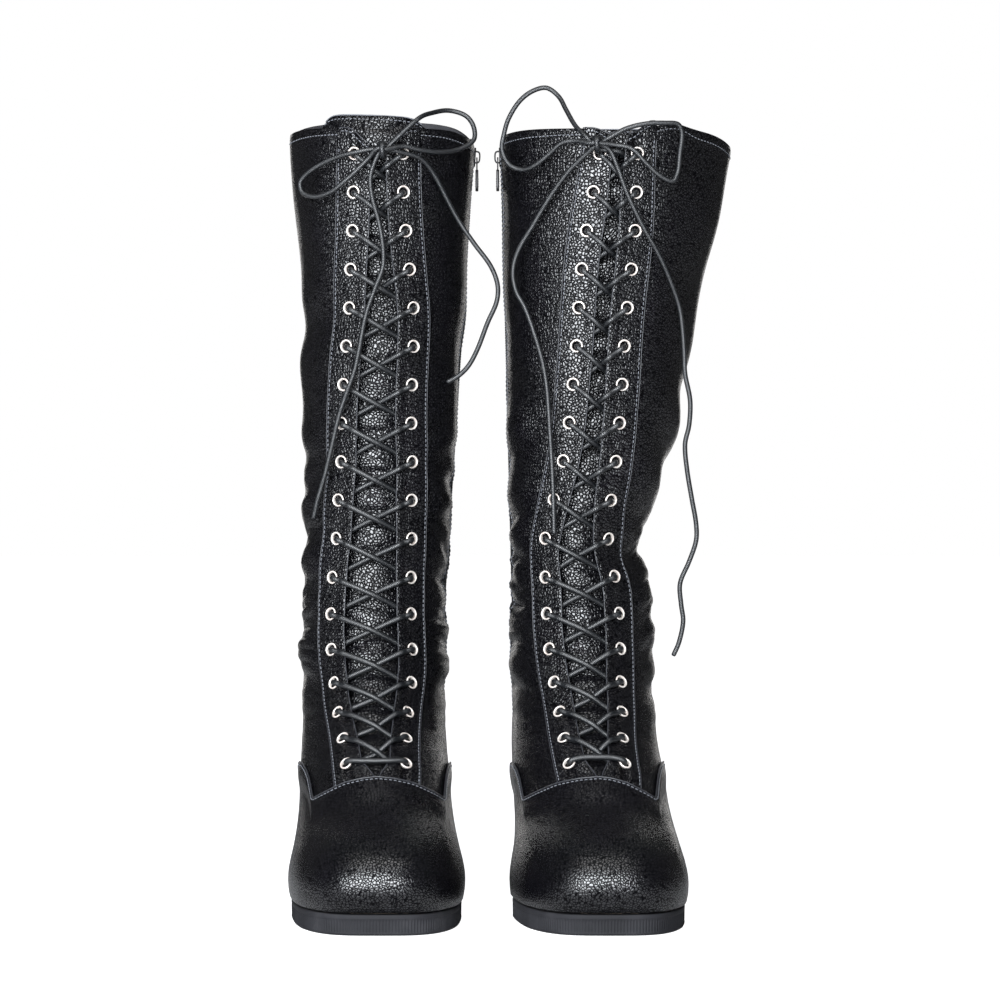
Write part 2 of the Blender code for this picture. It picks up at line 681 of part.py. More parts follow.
def consistent(first, extra):
    """All the faces, each turned so that neighbours agree, starting from the first one."""
    faces = [tuple(f) for f in first + extra]
    by_edge = {}
    for i, f in enumerate(faces):
        for a, b in ((f[0], f[1]), (f[1], f[2]), (f[2], f[0])):
            by_edge.setdefault((min(a, b), max(a, b)), []).append(i)
    done = [False] * len(faces)
    out = list(faces)
    for start in range(len(faces)):
        if done[start]:
            continue
        done[start] = True
        stack = [start]
        while stack:
            i = stack.pop()
            f = out[i]
            for a, b in ((f[0], f[1]), (f[1], f[2]), (f[2], f[0])):
                for k in by_edge[(min(a, b), max(a, b))]:
                    if done[k]:
                        continue
                    g = out[k]
                    ways = ((g[0], g[1]), (g[1], g[2]), (g[2], g[0]))
                    if (a, b) in ways:
                        out[k] = g[::-1]
                    done[k] = True
                    stack.append(k)
    return out


def build_tongue(boot):
    grid = []
    lines = [0, 1, 2, 3, 4, 5, 6, 7, 8, 9, 10, 11, 12, 13, 14, 15, 16, 17]
    for v in [TOP_V] + [v_below(line_distance(j)) for j in lines[1:]] + [v_below(line_distance(18)), 6.3]:
        wide = 1 + (TONGUE_HEAD[boot.side][0] / TONGUE_HALF - 1) * min(max((v - 18.6) / 1.0, 0.0), 1.0)
        grid.append([(boot.mm_to_u(x * wide, v), v) for x in (-TONGUE_HALF, -0.012, 0.0001, 0.012, TONGUE_HALF)])
    obj = shell(boot, boot.side + "_tongue", grid, TONGUE, "leather")
    # its head is domed: highest in the middle
    top = max(v.co.z for v in obj.data.vertices)
    head = [v for v in obj.data.vertices if v.co.z > top - 0.006]
    reach = max(abs(v.co.x - boot.off(0.0001, 19.9, 0)[0]) for v in head)
    for v in head:
        share = abs(v.co.x - boot.off(0.0001, 19.9, 0)[0]) / reach
        v.co.z += TONGUE_HEAD[boot.side][1] * (1 - 0.9 * share ** 2)
    base = boot.off(0.0001, 6.3, TONGUE[0])
    move_origin(obj, base)
    return obj


def move_origin(obj, point):
    point = np.asarray(point, float) - np.array(FOOTPRINT_MIDDLE)
    shift = np.array(obj.location) - point
    for v in obj.data.vertices:
        v.co.x += shift[0]
        v.co.y += shift[1]
        v.co.z += shift[2]
    obj.location = point


# lace ------------------------------------------------------------
def lace_crossing(boot, row, sign, over):
    """Centre line of the strand from eyelet (row, sign) on the front to the underside of eyelet (row + 1, -sign)."""
    d0, d1 = row_distance(row), row_distance(row + 1)
    a = np.array([sign * boot.column(d0), d0])
    b = np.array([-sign * boot.column(d1), d1])
    run = np.linalg.norm(b - a)
    way = (b - a) / run
    cross = a + (b - a) * (a[0] / (a[0] - b[0]))
    in0 = boot.facing_in(0.5 * (d0 + cross[1]))
    in1 = boot.facing_in(0.5 * (d1 + cross[1]))
    t0 = (abs(a[0]) - in0 + 0.5 * MM) / (abs(a[0]) + abs(b[0]))
    t1 = 1 - (abs(b[0]) - in1 + 0.7 * MM) / (abs(a[0]) + abs(b[0]))
    mid = 4.3 * MM if over else -0.9 * MM
    return [
        (a, 3.8 * MM),
        (a + way * 1.9 * MM, 5.8 * MM),
        (a + (b - a) * t0, 5.4 * MM),
        (cross, mid),
        (a + (b - a) * t1, -1.5 * MM),
        (b - way * 2.0 * MM, -1.9 * MM),
        (b - way * 0.1 * MM, -0.9 * MM),
    ]


def surface_point(boot, flat, height):
    """Point from (distance from the centre line, distance below the topline) and a height."""
    v = v_below(flat[1])
    return boot.off(boot.mm_to_u(flat[0] if abs(flat[0]) > 1e-6 else 1e-6, v), v, height)


# Bows: (x, z) from the middle of each knot as seen from the front, and how far in front of the shaft
BOWS = {
    "right": dict(
        knot=(-0.0630, 0.4395),
        out_loop=[(-0.0150, -0.0005), (-0.0280, -0.0035), (-0.0410, -0.0095), (-0.0480, -0.0160), (-0.0470, -0.0225), (-0.0395, -0.0255), (-0.0300, -0.0232), (-0.0225, -0.0180), (-0.0150, -0.0115), (-0.0075, -0.0040)],
        out_tail=[(-0.0018, -0.0013), (-0.0065, -0.0147), (-0.0053, -0.0275), (-0.0018, -0.0404), (0.0006, -0.0544), (0.0006, -0.0667), (-0.0041, -0.0796), (-0.0094, -0.0948), (-0.0140, -0.1182), (-0.0164, -0.1281), (-0.0205, -0.1392), (-0.0252, -0.1527), (-0.0298, -0.1714), (-0.0339, -0.1878), (-0.0380, -0.2012), (-0.0410, -0.2135)],
        in_loop=[(0.0210, 0.0193), (0.0304, 0.0246), (0.0392, 0.0263), (0.0486, 0.0234), (0.0532, 0.0170), (0.0532, 0.0088), (0.0445, 0.0029), (0.0333, 0.0006), (0.0222, 0.0012), (0.0129, 0.0029)],
        in_tail=[(0.0117, -0.0006), (0.0222, -0.0035), (0.0298, -0.0117), (0.0374, -0.0257), (0.0445, -0.0386), (0.0538, -0.0521), (0.0632, -0.0649), (0.0673, -0.0760), (0.0667, -0.0860), (0.0614, -0.0983), (0.0556, -0.1135), (0.0503, -0.1234), (0.0445, -0.1293), (0.0374, -0.1334)],
    ),
    "left": dict(
        knot=(0.0613, 0.4430),
        in_loop=[(-0.0053, 0.0047), (-0.0117, 0.0123), (-0.0170, 0.0228), (-0.0211, 0.0310), (-0.0281, 0.0363), (-0.0363, 0.0345), (-0.0439, 0.0287), (-0.0503, 0.0187), (-0.0532, 0.0094), (-0.0544, 0.0000), (-0.0503, -0.0088), (-0.0427, -0.0123), (-0.0357, -0.0105), (-0.0263, -0.0035), (-0.0199, 0.0018), (-0.0117, 0.0029)],
        in_tail=[(-0.0053, -0.0047), (-0.0158, -0.0146), (-0.0263, -0.0287), (-0.0363, -0.0450), (-0.0450, -0.0597), (-0.0480, -0.0714), (-0.0462, -0.0831), (-0.0410, -0.0930), (-0.0345, -0.1117), (-0.0304, -0.1269), (-0.0281, -0.1416), (-0.0263, -0.1685), (-0.0252, -0.1872), (-0.0246, -0.2012), (-0.0240, -0.2260)],
        out_loop=[(0.0076, 0.0041), (0.0176, 0.0094), (0.0293, 0.0123), (0.0410, 0.0129), (0.0480, 0.0123), (0.0503, 0.0070), (0.0491, -0.0047), (0.0480, -0.0146), (0.0450, -0.0205), (0.0374, -0.0176), (0.0293, -0.0105), (0.0211, -0.0023), (0.0117, 0.0000)],
        out_tail=[(0.0076, -0.0023), (0.0123, -0.0117), (0.0187, -0.0287), (0.0281, -0.0474), (0.0374, -0.0632), (0.0450, -0.0796), (0.0503, -0.0954), (0.0526, -0.1176), (0.0532, -0.1316), (0.0562, -0.1474), (0.0556, -0.1620), (0.0532, -0.1732), (0.0544, -0.1884), (0.0573, -0.2059), (0.0597, -0.2199), (0.0597, -0.2299), (0.0556, -0.2422), (0.0503, -0.2550), (0.0509, -0.2673), (0.0521, -0.2772), (0.0497, -0.2895), (0.0462, -0.2977)],
    ),
}
TAIL_CLEAR = 9.5 * MM
HANG_Y = -0.0400


def front_map(boot):
    """Front-side surface samples for laying the bow on the shaft."""
    found = []
    for v in np.linspace(8.0, TOP_V, 91):
        for u in np.linspace(-0.6, 0.6, 91):
            found.append([*boot.at(u, v), u, v, u * boot.half_length(v)])
    return np.array(found)


def lay(boot, samples, x, z, clear):
    """Point in front of the shaft at this x and z, pushed back until it meets its clearance or the hanging plane."""
    near = samples[(np.abs(samples[:, 0] - x) < 0.016) & (np.abs(samples[:, 2] - z) < 0.016)]
    if len(near) == 0:
        return np.array([x, HANG_Y, z])
    need = np.where(np.abs(near[:, 5]) < 0.033, clear, 5.2 * MM)
    y = -0.080
    while y < HANG_Y:
        gaps = np.sqrt((near[:, 0] - x) ** 2 + (near[:, 1] - y - 0.0005) ** 2 + (near[:, 2] - z) ** 2)
        if (gaps < need).any():
            break
        y += 0.0005
    return np.array([x, y, z])


def build_lace(boot):
    samples = front_map(boot)
    m = boot.m
    bow = BOWS[boot.side]
    kx, kz = bow["knot"]

    def bow_part(points, clear):
        return [lay(boot, samples, kx + x, kz + z, clear if np.ndim(clear) == 0 else clear[i]) for i, (x, z) in enumerate(points)]

    # Rows go down on alternate sides. The strand from the -X side lies on top, which is
    # the outer side of the right boot and the inner side of the left boot.
    top_sign = -m
    path = []
    # outer half: tail, knot, loop, knot, eyelet 1
    y_front = lay(boot, samples, kx, kz, TAIL_CLEAR)[1]

    def half(sign, name):
        sx = sign * m
        tail = bow_part(bow[name + "_tail"], TAIL_CLEAR + 0.8 * MM)[::-1]
        loop = bow_part(bow[name + "_loop"], TAIL_CLEAR + 0.4 * MM)[::-1]
        mid = [np.array([kx + sx * 0.0042, y_front - 0.0052, kz + 0.0010])]
        back = [
            np.array([kx + sx * 0.0040, y_front + 0.0004, kz + 0.0024]),
            np.array([kx + sx * 0.0019, y_front + 0.0010, kz - 0.0030]),
        ]
        d = row_distance(1)
        b = np.array([sign * boot.column(d), d])
        gap = boot.facing_in(d)
        under = [
            surface_point(boot, np.array([sign * 1.9 * MM, d + 0.0030]), 7.4 * MM),
            surface_point(boot, np.array([sign * 1.9 * MM, d + 0.0010]), 1.2 * MM),
            surface_point(boot, np.array([sign * gap, d + 0.0004]), -1.5 * MM),
            surface_point(boot, b - np.array([sign * 2.1 * MM, 0]), -1.7 * MM),
            surface_point(boot, b - np.array([sign * 0.2 * MM, 0]), -0.9 * MM),
        ]
        return tail + mid + loop + back + under

    start = -1
    path += half(start, "out")
    sign = start
    for row in range(1, ROWS):
        path += [surface_point(boot, a, h) for a, h in lace_crossing(boot, row, sign, sign * m < 0)]
        sign = -sign
    # bar over the lowest pair of eyelets
    d = row_distance(ROWS)
    c = boot.column(d)
    end = -sign
    bar = [
        (np.array([sign * c, d]), 3.6 * MM),
        (np.array([sign * (c - 1.9 * MM), d]), 5.5 * MM),
        (np.array([sign * (c - 9.0 * MM), d + 0.001]), 5.0 * MM),
        (np.array([-sign * (c - 9.0 * MM), d + 0.001]), 5.0 * MM),
        (np.array([-sign * (c - 1.9 * MM), d]), 5.5 * MM),
        (np.array([-sign * c, d]), 3.6 * MM),
    ]
    path += [surface_point(boot, a, h) for a, h in bar]
    # back up the other way, strand by strand in reverse
    sign = end
    for row in range(ROWS - 1, 0, -1):
        # this strand lies on the front at (row, -sign) and comes up from under (row + 1, sign)
        pts = lace_crossing(boot, row, -sign, -sign * m < 0)[::-1]
        path += [surface_point(boot, a, h) for a, h in pts]
        sign = -sign
    path += half(-start, "in")[::-1]
    clean = [path[0]]
    for p in path[1:]:
        if np.linalg.norm(p - clean[-1]) > 0.6 * MM:
            clean.append(p)
    points, faces = frame_tube(clean, LACE_R, LACE_SIDES)
    return add(boot.side + "_lace", points, faces, "cord")


# zip -------------------------------------------------------------
def zip_axes(boot):
    top, low = boot.zip_point(ZIP_TOP_Z), boot.zip_point(0.18)
    down = (low - top) / np.linalg.norm(low - top)
    out = np.array([boot.m, 0.0, 0.0])
    out = out - down * (out @ down)
    out /= np.linalg.norm(out)
    across = np.cross(down, out)
    return top, down, across, out


def union_boxes(name, boxes, look, origin):
    """One solid from overlapping boxes."""
    main = None
    for k, (pts, faces) in enumerate(boxes):
        obj = add(name if k == 0 else f"{name}_join{k}", pts, faces, look, origin)
        if k == 0:
            main = obj
            continue
        obj.hide_render = True
        obj.display_type = "WIRE"
        mod = main.modifiers.new(f"join{k}", "BOOLEAN")
        mod.operation = "UNION"
        mod.solver = "EXACT"
        mod.object = obj
    return main


def build_zip(boot):
    top, down, across, out = zip_axes(boot)
    side = boot.side
    length = (ZIP_TOP_Z - ZIP_BOTTOM_Z) / abs(down[2])
    axes = (down, across, out)
    front = -1 if across[1] > 0 else 1  # which way along 'across' is the toe side
    for word, s in (("front", front), ("rear", -front)):
        span = sorted((s * 0.65 * MM, s * TAPE_HALF))
        pts, faces = box_mesh(top, axes, [(-0.002, length), span, TAPE_LEVEL])
        add(f"{side}_zip_tape_{word}", pts, faces, "fabric")
        # coil half: a rail with shallow teeth on its meeting edge
        n = 24
        a0, a1 = 0.001, length - 0.010
        pts, faces = [], []
        for k in range(n + 1):
            w = a0 + (a1 - a0) * k / n
            inner = COIL_INNER + (0.0 if k % 2 else 0.35 * MM)
            for t, h in ((inner, COIL_LEVEL[0]), (COIL_OUTER, COIL_LEVEL[0]), (COIL_OUTER, COIL_LEVEL[1]), (inner, COIL_LEVEL[1])):
                pts.append(top + down * w + across * s * t + out * h)
        for k in range(n):
            for q in range(4):
                a, b = 4 * k + q, 4 * k + (q + 1) % 4
                faces += [(a, b, b + 4), (a, b + 4, a + 4)]
        e = 4 * n
        faces += [(0, 2, 1), (0, 3, 2), (e, e + 1, e + 2), (e, e + 2, e + 3)]
        add(f"{side}_zip_coil_{word}", pts, faces, "coil")
    pts, faces = box_mesh(top, axes, [(length - 0.0095, length - 0.006), (-COIL_OUTER, COIL_OUTER), (COIL_LEVEL[0], COIL_LEVEL[1] + 0.3 * MM)])
    add(f"{side}_zip_bottom_stop", pts, faces, "zip_metal")
    # slider
    c = top + down * 0.0065
    h = SLIDER_LENGTH / 2
    boxes = [
        box_mesh(c, axes, [(-h, h), (-SLIDER_HALF, SLIDER_HALF), SLIDER_TOP]),
        box_mesh(c, axes, [(-h, h), (3.1 * MM, SLIDER_HALF), (-0.95 * MM, 1.2 * MM)]),
        box_mesh(c, axes, [(-h, h), (-SLIDER_HALF, -3.1 * MM), (-0.95 * MM, 1.2 * MM)]),
        box_mesh(c, axes, [(-h, -h + 1.8 * MM), (-0.3 * MM, 0.3 * MM), (-2.5 * MM, 1.2 * MM)]),
        box_mesh(c, axes, [(-h, h), (-SLIDER_HALF, SLIDER_HALF), SLIDER_BOTTOM]),
        box_mesh(c, axes, [(-3.2 * MM, -2.2 * MM), (-0.8 * MM, 0.8 * MM), (1.5 * MM, 4.2 * MM)]),
        box_mesh(c, axes, [(2.2 * MM, 3.2 * MM), (-0.8 * MM, 0.8 * MM), (1.5 * MM, 4.2 * MM)]),
        box_mesh(c, axes, [(-3.2 * MM, 3.2 * MM), (-0.8 * MM, 0.8 * MM), (3.6 * MM, 4.6 * MM)]),
    ]
    slider = union_boxes(f"{side}_zip_slider", boxes, "zip_metal", c)
    # pull, hanging straight down from the bridge
    hinge = c + down * 0.5 * MM + out * 2.75 * MM
    plumb = np.array([0.0, 0.0, -1.0])
    swing = np.cross(plumb, across)
    swing = swing / np.linalg.norm(swing)
    if swing @ out < 0:
        swing = -swing
    side_way = np.cross(swing, plumb)
    paxes = (plumb, side_way, swing)
    half_t = 0.42 * MM
    loop = [(-0.42, -2.0), (-0.42, 2.0), (8.0, 2.0), (8.0, -2.0)]
    hole = [(0.45, -1.15), (0.45, 1.15), (5.4, 1.15), (5.4, -1.15)]
    pts, faces = [], []
    for n_level in (-half_t, half_t):
        for w, t in loop + hole:
            pts.append(hinge + plumb * w * MM + side_way * t * MM + swing * n_level)
    for k in range(4):
        k2 = (k + 1) % 4
        faces += [(k, k2, k2 + 4), (k, k2 + 4, k + 4)]
        faces += [(8 + k, 8 + k2 + 4, 8 + k2), (8 + k, 8 + k + 4, 8 + k2 + 4)]
        faces += [(k, 8 + k2, k2), (k, 8 + k, 8 + k2)]
        faces += [(4 + k, 4 + k2, 12 + k2), (4 + k, 12 + k2, 12 + k)]
    faces = consistent(faces, [])
    grip = box_mesh(hinge, paxes, [(7.0 * MM, PULL_LENGTH), (-1.7 * MM, 1.7 * MM), (-0.9 * MM, 0.9 * MM)])
    loop_end = [(np.asarray(pts), faces), grip]
    pull = union_boxes(f"{side}_zip_pull", loop_end, "zip_metal", hinge)
    return slider, pull


def build_boot(side):
    boot = Boot(side)
    slab(f"{side}_outsole", boot, [(FLOOR_Z, -1.2 * MM), (0.0016, 0.4 * MM), (SOLE_TOP, 0.6 * MM)], "rubber", 16)
    slab(f"{side}_insole_board", boot, [(SOLE_TOP + GAP, -4.6 * MM), (SOLE_TOP + GAP + 2.0 * MM, -4.6 * MM)], "board", 11)
    slab(f"{side}_footbed", boot, [(SOLE_TOP + 2 * GAP + 2.0 * MM, -4.6 * MM), (SOLE_TOP + 2 * GAP + 6.0 * MM, -4.0 * MM)], "foam", 11)
    cols = [-u for u in VAMP_COLUMNS[:0:-1]] + VAMP_COLUMNS
    vamp = [[(u, edge_v(u) * b) for u in cols] for b in VAMP_ROWS]
    shell(boot, f"{side}_vamp", vamp, UPPER, "leather")
    puff_cols = [u for u in cols if abs(u) < 0.205]
    shell(boot, f"{side}_toe_puff", [[(u, edge_v(u) * b) for u in puff_cols] for b in VAMP_ROWS[:5]], LINING, "stiffener")
    shell(boot, f"{side}_foot_lining", [vamp[i] for i in (0, 2, 4, 5, 6)], (-2.9 * MM, -1.8 * MM), "lining", FEATHER_Z + 0.1 * MM)
    heel = [[(u, edge_v(u) * b) for u in HEEL_COLUMNS] for b in HEEL_ROWS]
    shell(boot, f"{side}_heel_cover", heel, UPPER, "leather")
    shell(boot, f"{side}_heel_counter", [r[1:-1] for r in heel], LINING, "stiffener")
    shell(boot, f"{side}_heel_lining", heel, (-2.9 * MM, -1.8 * MM), "lining", FEATHER_Z + 0.1 * MM)
    outer = quarter_grid(boot, -1, "outer")
    front = quarter_grid(boot, 1, "front")
    rear = quarter_grid(boot, 1, "rear")
    shell(boot, f"{side}_outer_quarter", outer, UPPER, "leather")
    shell(boot, f"{side}_inner_quarter_front", front, UPPER, "leather")
    shell(boot, f"{side}_inner_quarter_rear", rear, UPPER, "leather")
    back = [[(u, line_v(j, u)) for u in (-0.943, 1.0, 0.943)] for j in QUARTER_LINES]
    back = [[(-0.943, r[0][1]), (-0.9999, r[1][1]), (-1.057, r[2][1])] for r in back]
    shell(boot, f"{side}_back_strip", back, UPPER, "leather")
    lining = []
    for o, b, r in zip(outer, back, rear):
        lining.append(o[:-1] + [(-0.943, o[-1][1]), b[1]] + [(-2.0 + u, v) for u, v in [(0.943, r[-1][1])] + r[-2:0:-1]])
    shell(boot, f"{side}_shaft_lining_outer", lining, SHAFT_LINING, "lining")
    shell(boot, f"{side}_shaft_lining_front", [r[:-1] for r in front], SHAFT_LINING, "lining")
    for word, sign in (("outer", -1), ("inner", 1)):
        holed_strip(boot, f"{side}_{word}_facing", sign, "in", "out", FACING, FACING_HOLE, "leather")
        holed_strip(boot, f"{side}_{word}_eyelets", sign, "stay_in", "stay_out", STAY, EYELET_HOLE, "nickel", ring=EYELET_RIM)
    build_tongue(boot)
    build_lace(boot)
    build_zip(boot)


clear_scene()
for side_name in BOOTS:
    build_boot(side_name)
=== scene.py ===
"""Looks for the pair of boxing boots: leather, stitching, lacing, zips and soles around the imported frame."""
import math
import bpy
import numpy as np
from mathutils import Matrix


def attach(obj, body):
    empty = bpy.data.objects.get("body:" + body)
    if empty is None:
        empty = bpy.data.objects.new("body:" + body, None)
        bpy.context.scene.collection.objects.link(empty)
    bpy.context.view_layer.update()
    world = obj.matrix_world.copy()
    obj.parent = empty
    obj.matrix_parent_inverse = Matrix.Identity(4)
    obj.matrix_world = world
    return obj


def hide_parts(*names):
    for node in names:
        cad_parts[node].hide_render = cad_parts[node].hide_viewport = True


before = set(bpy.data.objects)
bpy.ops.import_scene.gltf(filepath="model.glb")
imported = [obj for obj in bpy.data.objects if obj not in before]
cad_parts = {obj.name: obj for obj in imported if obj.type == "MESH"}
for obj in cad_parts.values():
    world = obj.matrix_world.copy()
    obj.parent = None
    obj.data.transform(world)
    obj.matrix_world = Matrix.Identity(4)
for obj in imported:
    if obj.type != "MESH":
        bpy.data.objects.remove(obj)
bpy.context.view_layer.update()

# ---------------------------------------------------------------- dimensions
MM = 0.001
GAP = 0.3 * MM  # clearance between touching pieces
SOLE_TOP = 11.4 * MM
FLOOR_Z = 0.0
FEATHER_Z = 12.0 * MM  # lowest point of the upper
# The numbers below are laid out about a point between the boots. The model's own
# origin is on the floor at the middle of the pair's footprint.
FOOTPRINT_MIDDLE = (0.01276, -0.05647, 0.0)

# Front centre line and back centre line of the last, ring by ring:
# (front y, front z, back y, back z)
RINGS = [
    (-0.1880, 0.0128, 0.0775, 0.0128),
    (-0.1945, 0.0200, 0.0815, 0.0180),
    (-0.1955, 0.0300, 0.0830, 0.0250),
    (-0.1900, 0.0400, 0.0830, 0.0320),
    (-0.1780, 0.0485, 0.0825, 0.0380),
    (-0.1600, 0.0570, 0.0815, 0.0450),
    (-0.1400, 0.0670, 0.0800, 0.0520),
    (-0.1220, 0.0790, 0.0780, 0.0600),
    (-0.1040, 0.0935, 0.0755, 0.0700),
    (-0.0890, 0.1060, 0.0725, 0.0800),
    (-0.0740, 0.1220, 0.0690, 0.0950),
    (-0.0620, 0.1420, 0.0640, 0.1150),
    (-0.0545, 0.1650, 0.0600, 0.1400),
    (-0.0505, 0.1900, 0.0580, 0.1700),
    (-0.0490, 0.2200, 0.0580, 0.2050),
    (-0.0490, 0.2600, 0.0600, 0.2500),
    (-0.0500, 0.3000, 0.0630, 0.2950),
    (-0.0510, 0.3400, 0.0660, 0.3380),
    (-0.0530, 0.3800, 0.0690, 0.3820),
    (-0.0550, 0.4200, 0.0710, 0.4290),
    (-0.0570, 0.4550, 0.0730, 0.4740),
]
TOP_V = len(RINGS) - 1
# Corner roundness of each ring, front half and back half (2 is an ellipse).
FRONT_N = [(0, 3.6), (3, 3.0), (6, 2.35), (9, 2.05), (20, 2.05)]
BACK_N = [(0, 2.5), (6, 2.3), (10, 2.05), (20, 2.05)]
# Foot plan: share of the full half width from heel (-1) to toe (+1).
PLAN = [(-1.0, 0.80), (-0.6, 0.76), (-0.2, 0.78), (0.15, 0.92), (0.4, 1.0), (0.75, 1.0), (1.0, 0.96)]
PLAN_FADE = [(0, 1.0), (3, 1.0), (7, 0.7), (10, 0.3), (12, 0.0), (20, 0.0)]
FOOT_HALF = [(0.012, 0.0478), (0.019, 0.0500), (0.026, 0.0502), (0.036, 0.0478), (0.047, 0.0455), (0.060, 0.0448), (0.077, 0.0449), (0.100, 0.0434)]

# Per boot: side of the body the zip faces, foot centre, foot yaw, and the
# outer and inner edge lines of the shaft (z, x).
BOOTS = {
    "right": dict(
        m=1.0,
        foot_x=-0.0700,
        yaw=0.052,
        outer=[(0.117, -0.1120), (0.130, -0.1123), (0.153, -0.1125), (0.177, -0.1110), (0.200, -0.1123), (0.213, -0.1103), (0.237, -0.1115), (0.255, -0.1097), (0.273, -0.1120), (0.297, -0.1125), (0.320, -0.1113), (0.345, -0.1097), (0.369, -0.1130), (0.393, -0.1155), (0.417, -0.1180), (0.457, -0.1197), (0.480, -0.1205)],
        inner=[(0.117, -0.0285), (0.129, -0.0275), (0.141, -0.0268), (0.155, -0.0272), (0.170, -0.0285), (0.450, -0.0105), (0.480, -0.0086)],
        spacing=[13.5, 14.0, 14.8, 16.7, 18.4, 19.3, 19.6, 20.0, 20.5, 21.2, 22.0, 23.2, 24.0, 24.4, 23.3, 20.9, 18.3, 16.6],
    ),
    "left": dict(
        m=-1.0,
        foot_x=0.0545,
        yaw=0.060,
        outer=[(0.117, 0.0975), (0.129, 0.0975), (0.153, 0.0963), (0.177, 0.0945), (0.189, 0.0940), (0.201, 0.0885), (0.208, 0.0862), (0.225, 0.0915), (0.237, 0.0950), (0.249, 0.1010), (0.273, 0.1090), (0.297, 0.1137), (0.321, 0.1180), (0.345, 0.1215), (0.369, 0.1263), (0.393, 0.1323), (0.417, 0.1377), (0.441, 0.1430), (0.480, 0.1480)],
        inner=[(0.117, 0.0135), (0.130, 0.0122), (0.150, 0.0125), (0.170, 0.0138), (0.450, 0.0069), (0.480, 0.0062)],
        spacing=[10.4, 12.2, 14.0, 14.1, 13.6, 13.4, 13.9, 14.1, 14.8, 16.0, 18.2, 20.4, 21.3, 21.0, 19.4, 18.2, 16.9, 15.4],
    ),
}

# Lacing
ROWS = 18
ROW_ONE = 0.0160  # first eyelet row below the topline
PITCH_SHAFT = 0.0224
PITCH_INSTEP = 0.0214
SHAFT_ROWS = 12
FACING_IN = 9.5 * MM  # eyelet centre to the facing's free edge
FACING_OUT = 11.0 * MM  # eyelet centre to its sewn edge
LEAST_HALF_GAP = 3.6 * MM
EYELET_HOLE = 2.3 * MM
EYELET_RIM = 3.5 * MM
FACING_HOLE = 3.9 * MM
EYELET_SIDES = 5
LACE_R = 1.5 * MM
LACE_SIDES = 4

# Layers, measured outwards from the inner face of the upper
UPPER = (0.0, 1.2 * MM)
LINING = (-1.5 * MM, -0.3 * MM)
SHAFT_LINING = (-1.8 * MM, -0.7 * MM)
FACING = (2.05 * MM, 3.1 * MM)
STAY = (0.2 * MM, 1.2 * MM)
EYELET_TOP = 3.8 * MM
TONGUE = (-6.2 * MM, -4.2 * MM)
TONGUE_HALF = 0.024
# Half width of the tongue's head, and how far its middle stands over the front of the topline
TONGUE_HEAD = {"right": (0.0345, 0.0085), "left": (0.0260, 0.0005)}

# Zip
ZIP_TOP_Z = 0.4500
ZIP_BOTTOM_Z = 0.1620
ZIP_Y_TOP = 0.0080
ZIP_Y_BOTTOM = 0.0020
ZIP_EDGE = 5.6 * MM  # centre line to the leather edge
ZIP_CLEAR = 9.8 * MM  # centre line to the lining edge
TAPE_HALF = 8.0 * MM
TAPE_LEVEL = (-1.9 * MM, -1.3 * MM)
COIL_LEVEL = (-1.0 * MM, 0.6 * MM)
COIL_INNER = 0.6 * MM
COIL_OUTER = 2.7 * MM
SLIDER_LENGTH = 11.0 * MM
SLIDER_HALF = 4.3 * MM
SLIDER_TOP = (0.9 * MM, 1.9 * MM)
SLIDER_BOTTOM = (-3.2 * MM, -2.2 * MM)
PULL_LENGTH = 20.0 * MM


# ---------------------------------------------------------------- helpers
def table(pairs, x):
    xs = [p[0] for p in pairs]
    return np.interp(x, xs, [p[1] for p in pairs])


def soft_table(pairs, x, reach):
    """The table read as the mean of five taps, so that its corners are rounded."""
    total = 0.0
    for k in (-1.0, -0.5, 0.0, 0.5, 1.0):
        total = total + table(pairs, np.asarray(x) + k * reach)
    return total / 5.0


RING_ARRAY = np.array(RINGS)


def ring_ends(v):
    """Front and back centre points of ring v, by a Catmull-Rom curve."""
    v = min(max(v, 0.0), float(TOP_V))
    i = min(int(v), TOP_V - 1)
    t = v - i
    p1, p2 = RING_ARRAY[i], RING_ARRAY[i + 1]
    p0 = RING_ARRAY[i - 1] if i > 0 else 2 * p1 - p2
    p3 = RING_ARRAY[i + 2] if i + 2 <= TOP_V else 2 * p2 - p1
    return 0.5 * (2 * p1 + (p2 - p0) * t + (2 * p0 - 5 * p1 + 4 * p2 - p3) * t * t + (3 * p1 - p0 - 3 * p2 + p3) * t ** 3)


def front_lengths():
    vs = np.linspace(0, TOP_V, 2001)
    pts = np.array([ring_ends(v)[:2] for v in vs])
    steps = np.hypot(*np.diff(pts, axis=0).T)
    down = np.concatenate([[0.0], np.cumsum(steps[::-1])])
    return down, vs[::-1]


FRONT_DOWN, FRONT_V = front_lengths()


def v_below(distance):
    """Ring number this far below the topline, measured along the front."""
    return float(np.interp(distance, FRONT_DOWN, FRONT_V))


def row_distance(row):
    if row <= SHAFT_ROWS:
        return ROW_ONE + (row - 1) * PITCH_SHAFT
    return ROW_ONE + (SHAFT_ROWS - 1) * PITCH_SHAFT + (row - SHAFT_ROWS) * PITCH_INSTEP


SEAM_BELOW = 0.0105
SEAM_CENTRE = row_distance(ROWS) + SEAM_BELOW  # vamp seam on the centre line


def line_distance(j):
    """Cross lines between the eyelet rows: 0 is the topline, j is below row j."""
    if j == 0:
        return 0.0
    if j >= ROWS:
        return row_distance(ROWS) + 0.0092
    return 0.5 * (row_distance(j) + row_distance(j + 1))


